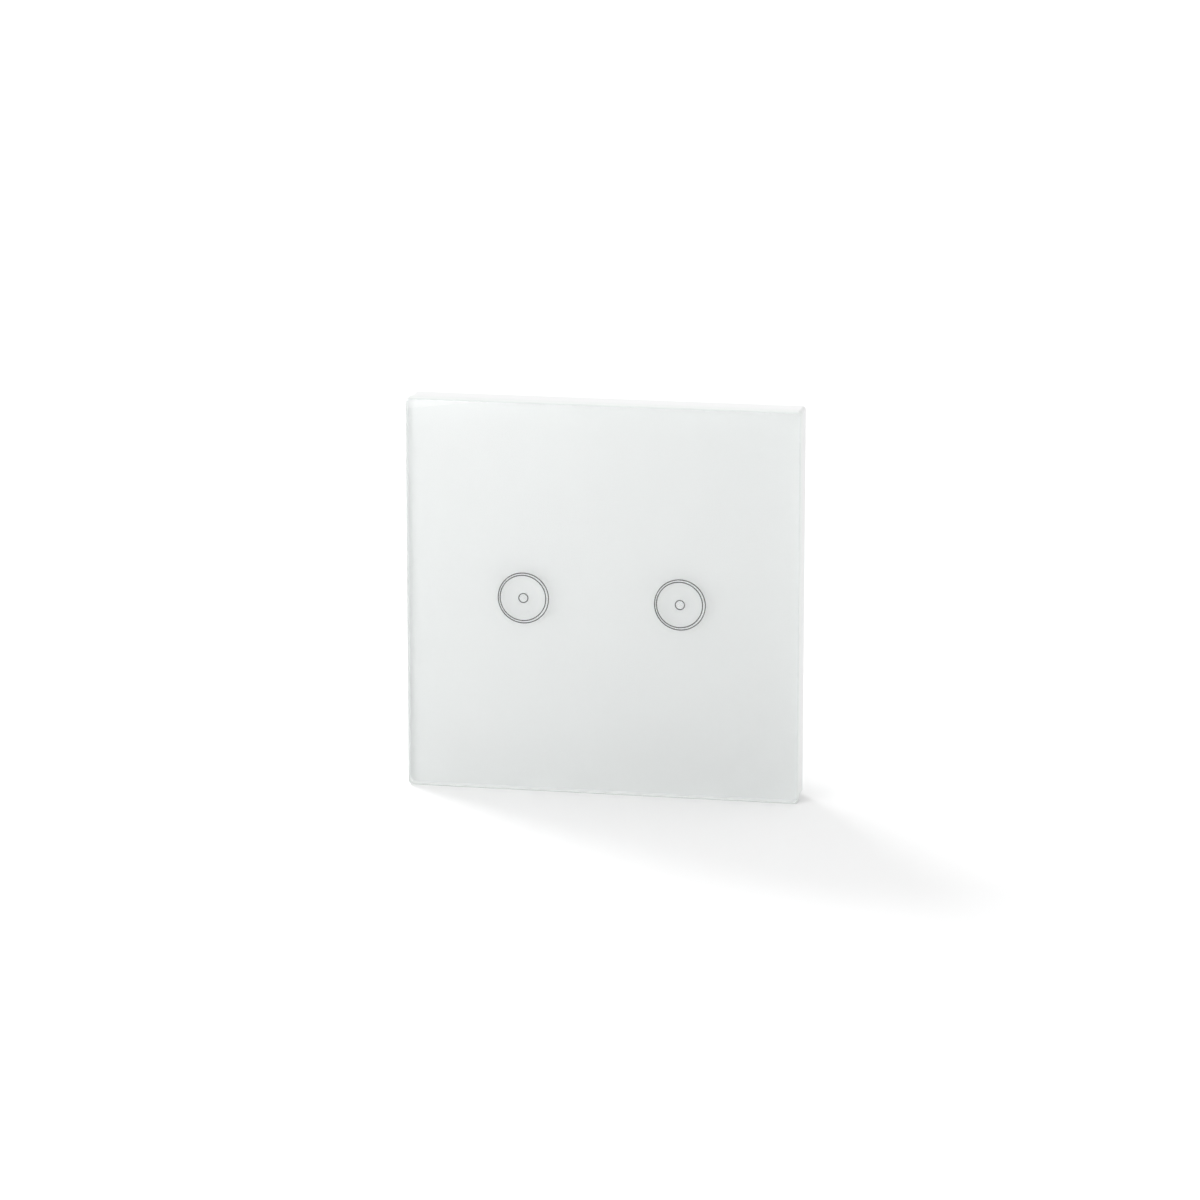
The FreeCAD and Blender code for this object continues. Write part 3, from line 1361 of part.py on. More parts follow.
def can_capacitor(radius, height, x, z):
    """Round aluminium can with its rolled groove and two leads."""
    y0 = POWER_BOARD_REAR_Y + LEAD_STAND_OFF
    y1 = y0 + height
    groove_y = y0 + CAN_GROOVE_UP
    outline = [
        V(x, y0, z),
        V(x + radius - CAN_FOOT_EDGE, y0, z),
        V(x + radius, y0 + CAN_FOOT_EDGE, z),
        V(x + radius, groove_y - CAN_GROOVE_HALF, z),
        V(x + radius - CAN_GROOVE, groove_y, z),
        V(x + radius, groove_y + CAN_GROOVE_HALF, z),
        V(x + radius, y1 - CAN_TOP_EDGE, z),
        V(x + radius - CAN_TOP_EDGE, y1, z),
        V(x, y1, z),
    ]
    can = Part.Face(Part.makePolygon(outline + outline[:1])).revolve(V(x, 0, z), ALONG_Y, 360)
    leads, _ = lead_pair(x, z, can_lead_spacing(radius), y0)
    return fuse_all([can] + leads)


def varistor():
    """Coated disc that stands on its two leads."""
    y_mid = POWER_BOARD_REAR_Y + VARISTOR_STAND_OFF + VARISTOR_R
    x0 = VARISTOR_X - VARISTOR_T / 2
    disc = rod_x(VARISTOR_R, x0, x0 + VARISTOR_T, y_mid, VARISTOR_Z)
    rims = [e for e in disc.Edges if e.BoundBox.XLength < OVERCUT]
    disc = disc.makeChamfer(VARISTOR_EDGE, rims)
    leads, _ = lead_pair(VARISTOR_X, VARISTOR_Z, VARISTOR_R, y_mid, along_x=False)
    return fuse_all([disc] + leads)


def fuse_link():
    """Moulded radial fuse on two leads."""
    y0 = POWER_BOARD_REAR_Y + LEAD_STAND_OFF
    half_l, half_w = FUSE_L / 2, FUSE_W / 2
    body = block(FUSE_X - half_l, FUSE_X + half_l, y0, y0 + FUSE_H, FUSE_Z - half_w, FUSE_Z + half_w)
    body = round_along(body, FUSE_CORNER_R, ALONG_Y)
    leads, _ = lead_pair(FUSE_X, FUSE_Z, FUSE_LEAD_SPACING, y0)
    return fuse_all([body] + leads)


def rectifier():
    """Bridge rectifier with four short leads, flat on the board."""
    x, z = RECTIFIER_X, RECTIFIER_Z
    y0 = POWER_BOARD_REAR_Y
    half_l, half_w = RECTIFIER_L / 2, RECTIFIER_W / 2
    body = block(
        x - half_l, x + half_l, y0 + RECTIFIER_LIFT, y0 + RECTIFIER_T, z - half_w, z + half_w
    )
    lead_half = RECTIFIER_LEAD_W / 2
    reach = half_w + RECTIFIER_LEAD_REACH
    pieces = [body]
    for at in (x - RECTIFIER_LEAD_AT, x + RECTIFIER_LEAD_AT):
        lead = block(at - lead_half, at + lead_half, y0, y0 + RECTIFIER_LEAD_T, z - reach, z + reach)
        pieces.append(lead)
    return fuse_all(pieces)


def power_board_hole_places():
    """Every place where a lead or pin passes through the power board."""
    places = [(x, TONGUE_LEG_Z + TONGUE_T / 2) for x in pole_places()]
    for left in relay_lefts():
        places += relay_pin_places(left)
    places += transformer_pin_places()
    places += lead_pair(BULK_X, BULK_Z, can_lead_spacing(BULK_R), 0)[1]
    places += lead_pair(OUTPUT_X, OUTPUT_Z, can_lead_spacing(OUTPUT_R), 0)[1]
    places += lead_pair(VARISTOR_X, VARISTOR_Z, VARISTOR_R, 0, along_x=False)[1]
    places += lead_pair(FUSE_X, FUSE_Z, FUSE_LEAD_SPACING, 0)[1]
    return places


def power_board():
    """Board with the relays, the supply and the terminals, drilled for every lead."""
    y0, y1 = POWER_BOARD_FRONT_Y, POWER_BOARD_REAR_Y
    board = plus_shape(BOARD_HALF, BOARD_CORNER, y0, y1)
    holes = [pin_hole_y(PIN_HOLE_R, y0, y1, x, z) for x, z in power_board_hole_places()]
    return cut_all(board, holes)


def relay_lefts():
    """X of the left end of each relay."""
    middle = RELAY_SPACING / 2
    return [-middle - RELAY_L / 2, middle - RELAY_L / 2]


def main():
    os.makedirs("parts", exist_ok=True)
    save("glass_panel", glass_panel())
    save("key_marks", key_marks())
    save("light_windows", light_windows())
    save("screen_print", screen_print())
    save("adhesive_tape", adhesive_tape())
    save("panel_carrier", panel_carrier())
    save("snap_clips", snap_clips())
    save("base_frame", base_frame())
    save("front_cover", front_cover())
    save("cover_screws", cover_screws())
    for side, x in (("left", -KEY_X), ("right", KEY_X)):
        save("light_ring_" + side, light_ring(x))
        spring, route = touch_spring(x)
        save("touch_spring_" + side, spring)
        print(f"touch_spring_{side}: least gap between turns {least_gap(route):.2f} mm")
    save("touch_board", touch_board())
    save("indicator_leds", indicator_leds())
    save("touch_controller", touch_controller())
    save("wifi_module", wifi_module())
    save("wifi_shield", wifi_shield())
    save("board_header", board_header())
    save("board_socket", board_socket())
    save("rear_housing", rear_housing())
    save("housing_screws", housing_screws())
    save("power_board", power_board())
    save("terminal_block", terminal_block())
    save("terminal_tongues", [terminal_tongue(x) for x in pole_places()])
    for number, x in enumerate(pole_places(), start=1):
        save(f"terminal_screw_{number}", terminal_screw(x))
        save(f"terminal_cage_{number}", terminal_cage(x))
    for side, left in zip(("left", "right"), relay_lefts()):
        save("relay_case_" + side, relay_case(left))
        save("relay_base_" + side, relay_base(left))
        save("relay_bobbin_" + side, relay_bobbin(left))
        save("relay_winding_" + side, relay_winding(left))
        save("relay_yoke_" + side, relay_yoke(left))
        save("relay_armature_" + side, relay_armature(left))
        save("relay_blade_" + side, relay_blade(left))
        save("relay_fixed_contact_" + side, relay_fixed_contact(left))
    save("transformer_core", transformer_core())
    save("transformer_coil", transformer_coil())
    save("bulk_capacitor", can_capacitor(BULK_R, BULK_H, BULK_X, BULK_Z))
    save("output_capacitor", can_capacitor(OUTPUT_R, OUTPUT_H, OUTPUT_X, OUTPUT_Z))
    save("varistor", varistor())
    save("fuse", fuse_link())
    save("rectifier", rectifier())


main()
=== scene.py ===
# %% [markdown]
# # A two-key smart light switch
#
# The switch is a square glass plate on a thin frame, with a module behind it that sits in a wall
# box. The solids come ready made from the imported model, each at its real place and size. This
# lesson dresses them: it finishes every surface, adds what is too fine for the solids, such as
# the lines of the key marks, the wire of the relays and the solder, and sets up the camera, the
# floor and the light of a plain product photograph.

# %% Load the solid model
import math
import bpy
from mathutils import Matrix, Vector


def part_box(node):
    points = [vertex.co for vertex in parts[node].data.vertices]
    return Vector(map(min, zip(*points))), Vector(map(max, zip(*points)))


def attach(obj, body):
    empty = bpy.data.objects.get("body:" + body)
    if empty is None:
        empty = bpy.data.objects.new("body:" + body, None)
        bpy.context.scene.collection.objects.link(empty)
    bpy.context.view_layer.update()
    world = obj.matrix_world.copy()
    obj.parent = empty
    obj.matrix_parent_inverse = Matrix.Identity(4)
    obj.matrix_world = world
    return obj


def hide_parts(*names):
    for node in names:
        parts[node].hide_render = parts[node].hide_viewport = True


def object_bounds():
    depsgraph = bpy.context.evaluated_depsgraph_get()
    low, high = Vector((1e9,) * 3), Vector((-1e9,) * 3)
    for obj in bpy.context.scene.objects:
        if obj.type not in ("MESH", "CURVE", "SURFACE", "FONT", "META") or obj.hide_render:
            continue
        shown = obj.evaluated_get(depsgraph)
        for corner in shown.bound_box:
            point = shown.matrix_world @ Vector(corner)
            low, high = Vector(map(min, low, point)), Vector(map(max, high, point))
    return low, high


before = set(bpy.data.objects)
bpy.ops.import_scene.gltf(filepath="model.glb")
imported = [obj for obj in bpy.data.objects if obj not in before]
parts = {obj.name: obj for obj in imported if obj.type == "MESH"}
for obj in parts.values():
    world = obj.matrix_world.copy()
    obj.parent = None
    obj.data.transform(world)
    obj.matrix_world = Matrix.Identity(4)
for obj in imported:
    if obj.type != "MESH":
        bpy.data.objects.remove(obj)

from types import SimpleNamespace

import bpy
from mathutils import Vector

solid_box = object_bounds()

# %% [markdown]
# ## Sizes read from the model
#
# Everything is in metres. The front face, the edge of the glass and the places of the keys are
# read from the solids, so the dressing follows them if they change. The marks of the two keys
# are separate solids in one node, left and right of the middle, so half of its width less a
# mark's radius is a key's distance from the middle.

# %% Places that later cells use
MM = 0.001
RING_OUTER_R = 5.52 * MM
LINE_W = 0.22 * MM

glass_low, glass_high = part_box("glass_panel")
marks_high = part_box("key_marks")[1]
front_y = glass_low.y
key_x = marks_high.x - RING_OUTER_R - LINE_W / 2
print("front face at y =", round(front_y / MM, 2), "mm, keys at x = +-", round(key_x / MM, 2), "mm")

# %% [markdown]
# ## Camera
#
# The photograph shows the switch from a little to the right and above, through a long lens, so
# the upright edges hardly converge. The camera stands where the eight visible corners of the
# plate fall on the same places as in the photograph, and it doesn't lean to either side. Cameras
# and lights look down their own -Z axis, so one helper aims both.

# %% Camera at the photograph's place
CAMERA_AT = Vector((204.45, -1094.98, 270.83)) * MM
LOOK_ALONG = Vector((-0.17997, 0.95451, -0.23776))
SENSOR_W = 36.0
LENS = 159.0
CLIP_NEAR, CLIP_FAR = 0.05, 20.0


def add_object(name, data):
    """A new object in the scene, at the origin."""
    made = bpy.data.objects.new(name, data)
    bpy.context.scene.collection.objects.link(made)
    return made


def aim(thing, along):
    """Turns a camera or a light to look along a direction, with its upright side up."""
    thing.rotation_euler = along.to_track_quat("-Z", "Y").to_euler()


camera_data = bpy.data.cameras.new("camera")
camera_data.sensor_width = SENSOR_W
camera_data.lens = LENS
camera_data.clip_start, camera_data.clip_end = CLIP_NEAR, CLIP_FAR
camera = add_object("camera", camera_data)
camera.location = CAMERA_AT
aim(camera, LOOK_ALONG)
bpy.context.scene.camera = camera
print("camera", round(CAMERA_AT.length, 3), "m from the switch")

# %% [markdown]
# ## A way to write trees of nodes
#
# The light of the room, the finishes and every shape that follows a rule are trees of nodes.
# Blender wants a line of its own for each value and each link, and that soon hides what a tree
# does. With these helpers a node is written as one call, and each of its inputs takes a value or
# another node's output in the same way. They work for all kinds of tree.

# %% Helpers for all trees
def plug(tree, source, socket):
    """Links a socket to an output, or sets it to a value; a colour is three values."""
    if isinstance(source, bpy.types.NodeSocket):
        tree.links.new(source, socket)
    elif socket.type == "RGBA":
        socket.default_value = (*source, 1)
    else:
        socket.default_value = source


def feed(tree, node, **sources):
    """Plugs the inputs of a node by name, with _ for a space."""
    for name, source in sources.items():
        plug(tree, source, node.inputs[name.replace("_", " ")])
    return node


def add_node(tree, kind, **sources):
    """A new node of the given kind, with its inputs plugged."""
    return feed(tree, tree.nodes.new(kind), **sources)


def result(tree, kind, **sources):
    """The first output of such a new node, which is its main result."""
    return add_node(tree, kind, **sources).outputs[0]


def maths(tree, operation, first, second=0.0):
    """A sum, product or other result of two values or outputs."""
    node = add_node(tree, "ShaderNodeMath")
    node.operation = operation
    for source, socket in zip((first, second), node.inputs):
        plug(tree, source, socket)
    return node.outputs["Value"]


def vector(tree, x=0.0, y=0.0, z=0.0):
    """A vector from three values or outputs."""
    return result(tree, "ShaderNodeCombineXYZ", X=x, Y=y, Z=z)


def new_paint(name):
    """A new material, its tree and the Principled shader that the tree ends in."""
    paint = bpy.data.materials.new(name)
    paint.use_nodes = True
    return paint, paint.node_tree, paint.node_tree.nodes["Principled BSDF"]


print("tree helpers ready")

# %% [markdown]
# ## Floor and light
#
# The switch stands on its lower edge on a white floor in a white room, and most of the light
# comes evenly from the room. A broad, low light from behind and to the left draws the faint
# wedge of shadow forwards and to the right. A soft box in front on the left makes the glass face
# a little brighter there than at the lower right. The floor is lit beyond white, as in most
# such photographs, so that only the core of the shadow is left to see.

# %% White floor
FLOOR_HALF = 3.0
FLOOR_DROP = 0.02 * MM
FLOOR_WHITE = (0.96, 0.96, 0.96)
FLOOR_ROUGH = 1.0
FLOOR_SHINE = 0.0

floor_z = solid_box[0].z - FLOOR_DROP
floor_corners = [
    (-FLOOR_HALF, -FLOOR_HALF, floor_z),
    (FLOOR_HALF, -FLOOR_HALF, floor_z),
    (FLOOR_HALF, FLOOR_HALF, floor_z),
    (-FLOOR_HALF, FLOOR_HALF, floor_z),
]
floor_mesh = bpy.data.meshes.new("floor")
floor_mesh.from_pydata(floor_corners, [], [(0, 1, 2, 3)])
floor = add_object("floor", floor_mesh)
floor_paint, tree, shader = new_paint("floor_paint")
feed(tree, shader, Base_Color=FLOOR_WHITE, Roughness=FLOOR_ROUGH, Specular_IOR_Level=FLOOR_SHINE)
floor_mesh.materials.append(floor_paint)
print("floor at z =", round(floor_z / MM, 2), "mm")

# %% Even light from the room, stronger at the horizon than from above
HORIZON_LIGHT = 1.16
CEILING_LIGHT = 0.72
WHITE = (1.0, 1.0, 1.0)

world = bpy.data.worlds.new("white_room")
world.use_nodes = True
room = world.node_tree
direction = add_node(room, "ShaderNodeTexCoord").outputs["Generated"]
upward = add_node(room, "ShaderNodeSeparateXYZ", Vector=direction).outputs["Z"]
fade = result(room, "ShaderNodeMapRange", Value=upward, To_Min=HORIZON_LIGHT, To_Max=CEILING_LIGHT)
feed(room, room.nodes["Background"], Color=WHITE, Strength=fade)
bpy.context.scene.world = world
bpy.context.scene.view_settings.view_transform = "Standard"
print("room light from", HORIZON_LIGHT, "to", CEILING_LIGHT)

# %% A broad back light and a small soft box
BACK_LIGHT = 1.84
BACK_SPREAD = 30.0
BACK_ALONG = Vector((0.59, -0.62, -0.51))
SOFT_BOX_WATTS = 0.87
SOFT_BOX_SIDE = 0.3
SOFT_BOX_AT = Vector((-0.22, -0.34, 0.05))
SOFT_BOX_AIM = Vector((-0.01, 0, 0.01))

sun_data = bpy.data.lights.new("back_light", "SUN")
sun_data.energy = BACK_LIGHT
sun_data.angle = math.radians(BACK_SPREAD)
aim(add_object("back_light", sun_data), BACK_ALONG)

box_data = bpy.data.lights.new("soft_box", "AREA")
box_data.energy = SOFT_BOX_WATTS
box_data.size = SOFT_BOX_SIDE
soft_box = add_object("soft_box", box_data)
soft_box.location = SOFT_BOX_AT
soft_box.visible_camera = False
aim(soft_box, SOFT_BOX_AIM - SOFT_BOX_AT)
print("back light", BACK_LIGHT, "soft box", SOFT_BOX_WATTS, "W")

# %% [markdown]
# ## A way to write finishes
#
# A finish is a small tree of nodes that ends in one Principled shader. Every finish here starts
# the same way: slow noise on the object's own coordinates lets the colour drift a little, and a
# finer noise varies the roughness and makes a slight bump, as moulded, rolled and plated
# surfaces have. Noise that is stretched along one axis gives the fine lines of rolled or ground
# metal. The helper returns its parts, so that a finish can add what is special to it.

# %% Helpers for material nodes
NOISE_LOW, NOISE_HIGH = 0.3, 0.7


def surface_noise(tree, place, scale, detail=3.0, stretch=(1, 1, 1)):
    """Noise on the object's own coordinates; a stretch below 1 draws it out along that axis."""
    mapped = result(tree, "ShaderNodeMapping", Vector=place, Scale=stretch)
    return result(tree, "ShaderNodeTexNoise", Vector=mapped, Scale=scale, Detail=detail)


def spread(tree, amount, low, high, bottom=NOISE_LOW, top=NOISE_HIGH):
    """An amount that runs from bottom to top, as noise does, stretched to run from low to high."""
    return result(
        tree, "ShaderNodeMapRange", Value=amount, From_Min=bottom, From_Max=top, To_Min=low,
        To_Max=high,
    )


def mix_colours(tree, amount, first, second):
    """The first colour where the amount is 0 and the second where it is 1; colours or outputs."""
    mix = add_node(tree, "ShaderNodeMix")
    mix.data_type = "RGBA"
    feed(tree, mix, Factor=amount)
    colours = [socket for socket in mix.inputs if socket.type == "RGBA"]
    for source, socket in zip((first, second), colours):
        plug(tree, source, socket)
    return next(socket for socket in mix.outputs if socket.type == "RGBA")


def facing(tree, axis):
    """How squarely a face looks along an axis, from 0 to 1, either way round."""
    normal = add_node(tree, "ShaderNodeNewGeometry").outputs["True Normal"]
    split = add_node(tree, "ShaderNodeSeparateXYZ", Vector=normal)
    return maths(tree, "ABSOLUTE", split.outputs[axis])


print("noise is taken from", NOISE_LOW, "to", NOISE_HIGH)

# %% The start that the finishes share
DRIFT_SCALE = 60
GRAIN_SCALE = 2500
GRAIN_HEIGHT = 0.02 * MM
finishes = {}


def finish(name, colour, rough, vary=0.03, rough_vary=0.05, grain=GRAIN_SCALE, bump=0.1, metal=0.0,
           stretch=(1, 1, 1)):
    """A finish whose colour drifts and whose roughness and relief have a grain."""
    finishes[name], tree, shader = new_paint(name)
    place = add_node(tree, "ShaderNodeTexCoord").outputs["Object"]
    slow = surface_noise(tree, place, DRIFT_SCALE, stretch=stretch)
    fine = surface_noise(tree, place, grain, stretch=stretch)
    darker = [channel * (1 - vary) for channel in colour]
    lighter = [min(channel * (1 + vary), 1.0) for channel in colour]
    tint = mix_colours(tree, spread(tree, slow, 0, 1), darker, lighter)
    gloss = spread(tree, fine, rough - rough_vary, rough + rough_vary)
    relief = result(tree, "ShaderNodeBump", Strength=bump, Distance=GRAIN_HEIGHT, Height=fine)
    feed(tree, shader, Base_Color=tint, Roughness=gloss, Normal=relief, Metallic=metal)
    return SimpleNamespace(tree=tree, shader=shader, place=place, tint=tint)


print("grain", GRAIN_SCALE, "per metre, drift", DRIFT_SCALE, "per metre")

# %% [markdown]
# ## Glass and inks
#
# The front is real glass: it lets light through to the white ink on its back, and only its rim
# is ground matt. A painted slab would look flat from the side, where real glass shows its own
# pale green edge. Real ground glass passes on some of the light that falls on its rim from
# outside, so seen through the face the rim looks whiter than from outside. The rim is opaque
# here, so that light is painted: where the rim is seen from inside, its colour is painted whiter
# and it gives off a faint painted light of its own. The marks of the keys are a thin pale film
# that covers only a tenth of what is behind it.

# %% Clear glass with a ground rim, painted lighter from inside
GLASS_TINT = (0.985, 0.995, 0.992)
RIM_OUTSIDE = (0.70, 0.72, 0.71)
# painted light: the rim seen from inside is painted whiter than from outside
RIM_INSIDE_PAINTED_LIGHT = (0.965, 0.98, 0.975)
# painted light: the rim seen from inside gives off this much light, though it is no lamp
RIM_PAINTED_GLOW = 0.13
NO_LIGHT = (0.0, 0.0, 0.0)
GLASS_IOR = 1.52
RIM_ROUGH, FACE_ROUGH = 0.35, 0.01
RIM_CLEAR, FACE_CLEAR = 0.0, 1.0
RIM_FROM, RIM_TO = 0.95, 1.0

finishes["glass"], tree, shader = new_paint("glass")
polished = spread(tree, facing(tree, "Y"), 0, 1, RIM_FROM, RIM_TO)
from_inside = add_node(tree, "ShaderNodeNewGeometry").outputs["Backfacing"]
# painted light: from inside, the rim takes the whiter painted colour and a faint painted emission
rim = mix_colours(tree, from_inside, RIM_OUTSIDE, RIM_INSIDE_PAINTED_LIGHT)
painted_glow = mix_colours(tree, from_inside, NO_LIGHT, RIM_INSIDE_PAINTED_LIGHT)
feed(
    tree, shader, IOR=GLASS_IOR, Emission_Strength=RIM_PAINTED_GLOW,
    Base_Color=mix_colours(tree, polished, rim, GLASS_TINT),
    Emission_Color=mix_colours(tree, polished, painted_glow, NO_LIGHT),
    Roughness=spread(tree, polished, RIM_ROUGH, FACE_ROUGH, 0, 1),
    Transmission_Weight=spread(tree, polished, RIM_CLEAR, FACE_CLEAR, 0, 1),
)
print("glass of index", GLASS_IOR)

# %% White ink, milky ink and the pale film of the key marks
MARK_COVER = 0.1

finish("ink", (0.965, 0.976, 0.973), 0.5, vary=0.003, bump=0.0)
finish("milky_ink", (0.965, 0.975, 0.972), 0.45, vary=0.003, bump=0.0)
film = finish("enamel", (0.88, 0.90, 0.895), 0.25, vary=0.01, bump=0.02)
feed(film.tree, film.shader, Alpha=MARK_COVER)
print("the marks cover", MARK_COVER, "of what is behind them")

# %% [markdown]
# ## Mouldings and tape
#
# The carrier, the frame, the cover and the housing are moulded white plastic with a fine
# spark-eroded grain, a little duller on the hidden housing. The light guides are milky acrylic,
# which scatters light inside, and the terminal block and relay parts are harder, darker grades.

# %% Plastics
finish("carrier", (0.74, 0.745, 0.745), 0.42, vary=0.012, bump=0.12)
finish("frame", (0.60, 0.61, 0.61), 0.48, vary=0.012, bump=0.2)
finish("cover", (0.64, 0.64, 0.63), 0.45, vary=0.015, bump=0.2)
finish("housing", (0.50, 0.51, 0.51), 0.52, vary=0.02, bump=0.35, grain=1800)
finish("terminal", (0.045, 0.05, 0.055), 0.38, vary=0.08, bump=0.15)
finish("connector", (0.03, 0.03, 0.032), 0.35, vary=0.08, bump=0.1)
finish("relay_case", (0.02, 0.075, 0.30), 0.28, vary=0.05, bump=0.06)
finish("bobbin", (0.75, 0.70, 0.58), 0.4, vary=0.03, bump=0.08)
finish("chip", (0.02, 0.02, 0.021), 0.55, vary=0.12, bump=0.3, grain=4000)
finish("tape", (0.16, 0.165, 0.17), 0.7, vary=0.06, bump=0.4, grain=3000)
finish("coil_tape", (0.72, 0.50, 0.06), 0.22, vary=0.03, bump=0.05)
finish("disc_coat", (0.03, 0.16, 0.42), 0.3, vary=0.05, bump=0.5, grain=700)
finish("fuse_body", (0.42, 0.045, 0.03), 0.3, vary=0.04, bump=0.06)
finish("led", (0.82, 0.74, 0.36), 0.3, vary=0.04, bump=0.05)
finish("ferrite", (0.035, 0.034, 0.034), 0.62, vary=0.18, bump=0.8, grain=3500)
print(len(finishes), "finishes so far")

# %% Milky light guides
GUIDE_CLOUD = 0.6
GUIDE_REACH = 1.2

guide = finish("light_guide", (0.86, 0.89, 0.90), 0.18, vary=0.01, bump=0.03)
feed(
    guide.tree, guide.shader, Subsurface_Weight=GUIDE_CLOUD,
    Subsurface_Radius=(GUIDE_REACH, GUIDE_REACH, GUIDE_REACH), Subsurface_Scale=MM,
)
print("light guides let light in by", GUIDE_REACH, "mm")

# %% [markdown]
# ## Metals
#
# Sheet and strip show fine lines along the way they were rolled, so their noise is stretched.
# Zinc plating is bright and a little bluish, brass is plain, and the relay iron is dull with a
# thin plating.

# %% Metals
ROLLED_ALONG_X = (0.05, 1, 1)


def metal_finish(name, colour, rough, **more):
    """A finish that is all metal."""
    finish(name, colour, rough, metal=1.0, **more)


metal_finish("spring_steel", (0.62, 0.62, 0.61), 0.26, rough_vary=0.08, bump=0.15,
             stretch=ROLLED_ALONG_X)
metal_finish("spring_wire", (0.70, 0.70, 0.69), 0.2, rough_vary=0.05, bump=0.05)
metal_finish("zinc_screw", (0.66, 0.68, 0.70), 0.3, rough_vary=0.08, bump=0.2)
metal_finish("shield", (0.70, 0.70, 0.68), 0.25, rough_vary=0.08, bump=0.1, stretch=ROLLED_ALONG_X)
metal_finish("iron", (0.50, 0.50, 0.49), 0.4, rough_vary=0.1, bump=0.25)
metal_finish("brass", (0.80, 0.58, 0.26), 0.28, rough_vary=0.07, bump=0.12, stretch=ROLLED_ALONG_X)
metal_finish("copper", (0.72, 0.29, 0.12), 0.24, rough_vary=0.06, bump=0.08)
print(len(finishes), "finishes so far")

# %% [markdown]
# ## Circuit boards and capacitors
#
# A board is green lacquer over copper tracks that shine through lighter, and its sawn edge
# shows the bare glass laminate. The tracks here run along the cell walls of a square-cornered
# Voronoi pattern, which gives short straight runs with corners. A capacitor is a bare aluminium
# can in a dark sleeve that leaves its end open. In both, the direction that a face looks in
# tells which part of the piece it is.

# %% Green boards with tracks
BOARD_GREEN = (0.012, 0.16, 0.07)
TRACK_GREEN = (0.045, 0.30, 0.13)
LAMINATE = (0.55, 0.50, 0.30)
TRACK_CELLS = 420
TRACK_HALF = 0.07
TRACK_FADE = 1.5
EDGE_FROM, EDGE_TO = 0.4, 0.6

board = finish("circuit_board", BOARD_GREEN, 0.25, vary=0.06, bump=0.05)
cells = []
for feature in ("F1", "F2"):
    cell = add_node(board.tree, "ShaderNodeTexVoronoi", Vector=board.place, Scale=TRACK_CELLS)
    cell.feature, cell.distance = feature, "CHEBYCHEV"
    cells.append(cell.outputs["Distance"])
wall = maths(board.tree, "SUBTRACT", cells[1], cells[0])
track = spread(board.tree, wall, 1, 0, TRACK_HALF, TRACK_HALF * TRACK_FADE)
lacquer = mix_colours(board.tree, track, board.tint, TRACK_GREEN)
edge = spread(board.tree, facing(board.tree, "Y"), 1, 0, EDGE_FROM, EDGE_TO)
feed(board.tree, board.shader, Base_Color=mix_colours(board.tree, edge, lacquer, LAMINATE))
print("tracks every", round(1 / (MM * TRACK_CELLS), 1), "mm or so")

# %% Sleeved aluminium cans
SLEEVE = (0.02, 0.022, 0.05)
SLEEVE_FROM, SLEEVE_TO = 0.8, 0.95

can = finish("aluminium_can", (0.80, 0.80, 0.80), 0.3, bump=0.08)
sleeved = spread(can.tree, facing(can.tree, "Y"), 1, 0, SLEEVE_FROM, SLEEVE_TO)
feed(
    can.tree, can.shader, Base_Color=mix_colours(can.tree, sleeved, can.tint, SLEEVE),
    Metallic=spread(can.tree, sleeved, 1, 0, 0, 1),
)
print("sleeve on the cans")

# %% [markdown]
# ## Inks bonded to the glass
#
# The white ink and the milky ink are printed on the back of the glass, so no film of air shows
# between them. Two solids that share a plane render black there, and a gap would mirror the
# room. A copy of each print has its front moved a hair into the glass and takes the place of the
# solid. The outer edge of the white ink is also drawn out to the start of the ground rim,
# because the photograph shows the face white right up to there.

# %% Bond the inks to the glass
BOND = 0.02 * MM
EDGE_BAND = 2.0 * MM
INK_TO_EDGE = 0.31 * MM
ink_widen = (glass_high.x - INK_TO_EDGE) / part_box("screen_print")[1].x


def bonded(node_name, widen=1.0):
    """A copy of a printed node whose front lies a hair inside the glass, in place of that node."""
    mesh = parts[node_name].data.copy()
    mesh.name = "bonded_" + node_name
    front = min(point.co.y for point in mesh.vertices)
    for point in mesh.vertices:
        if point.co.y < front + BOND / 2:
            point.co.y -= BOND
        if max(abs(point.co.x), abs(point.co.z)) > glass_high.x - EDGE_BAND:
            point.co.x *= widen
            point.co.z *= widen
    piece = add_object("bonded_" + node_name, mesh)
    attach(piece, "panel")
    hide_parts(node_name)
    return piece


printed = [bonded("screen_print", ink_widen), bonded("light_windows")]
print([piece.name for piece in printed], "ink wider by", round(ink_widen, 4))

# %% [markdown]
# ## Shapes that follow a rule
#
# What repeats or runs along a curve is made with Geometry Nodes. A tree takes its sizes as named
# inputs and gives the shape, so one tree serves several pieces, and a size is changed in one
# place. Each tree runs once, as a modifier on an empty seed object, and its result is kept as a
# plain mesh, because the pieces that are handed over are meshes without modifiers.

# %% Helpers for geometry trees
TO_FRONT = (math.pi / 2, 0, 0)
TO_BACK = (-math.pi / 2, 0, 0)


def new_tree(name, sizes):
    """A geometry tree with one input for each name in sizes; returns it, the inputs and its end."""
    tree = bpy.data.node_groups.new(name, "GeometryNodeTree")
    for size_name, size in sizes.items():
        socket = tree.interface.new_socket(size_name, in_out="INPUT", socket_type="NodeSocketFloat")
        socket.default_value = size
    tree.interface.new_socket("Geometry", in_out="OUTPUT", socket_type="NodeSocketGeometry")
    return tree, add_node(tree, "NodeGroupInput").outputs, add_node(tree, "NodeGroupOutput")


def move(tree, shape, turn=(0, 0, 0), **to):
    """A shape turned about the origin, for instance from +Z to the front, and then moved."""
    return result(
        tree, "GeometryNodeTransform", Geometry=shape, Rotation=turn, Translation=vector(tree, **to)
    )


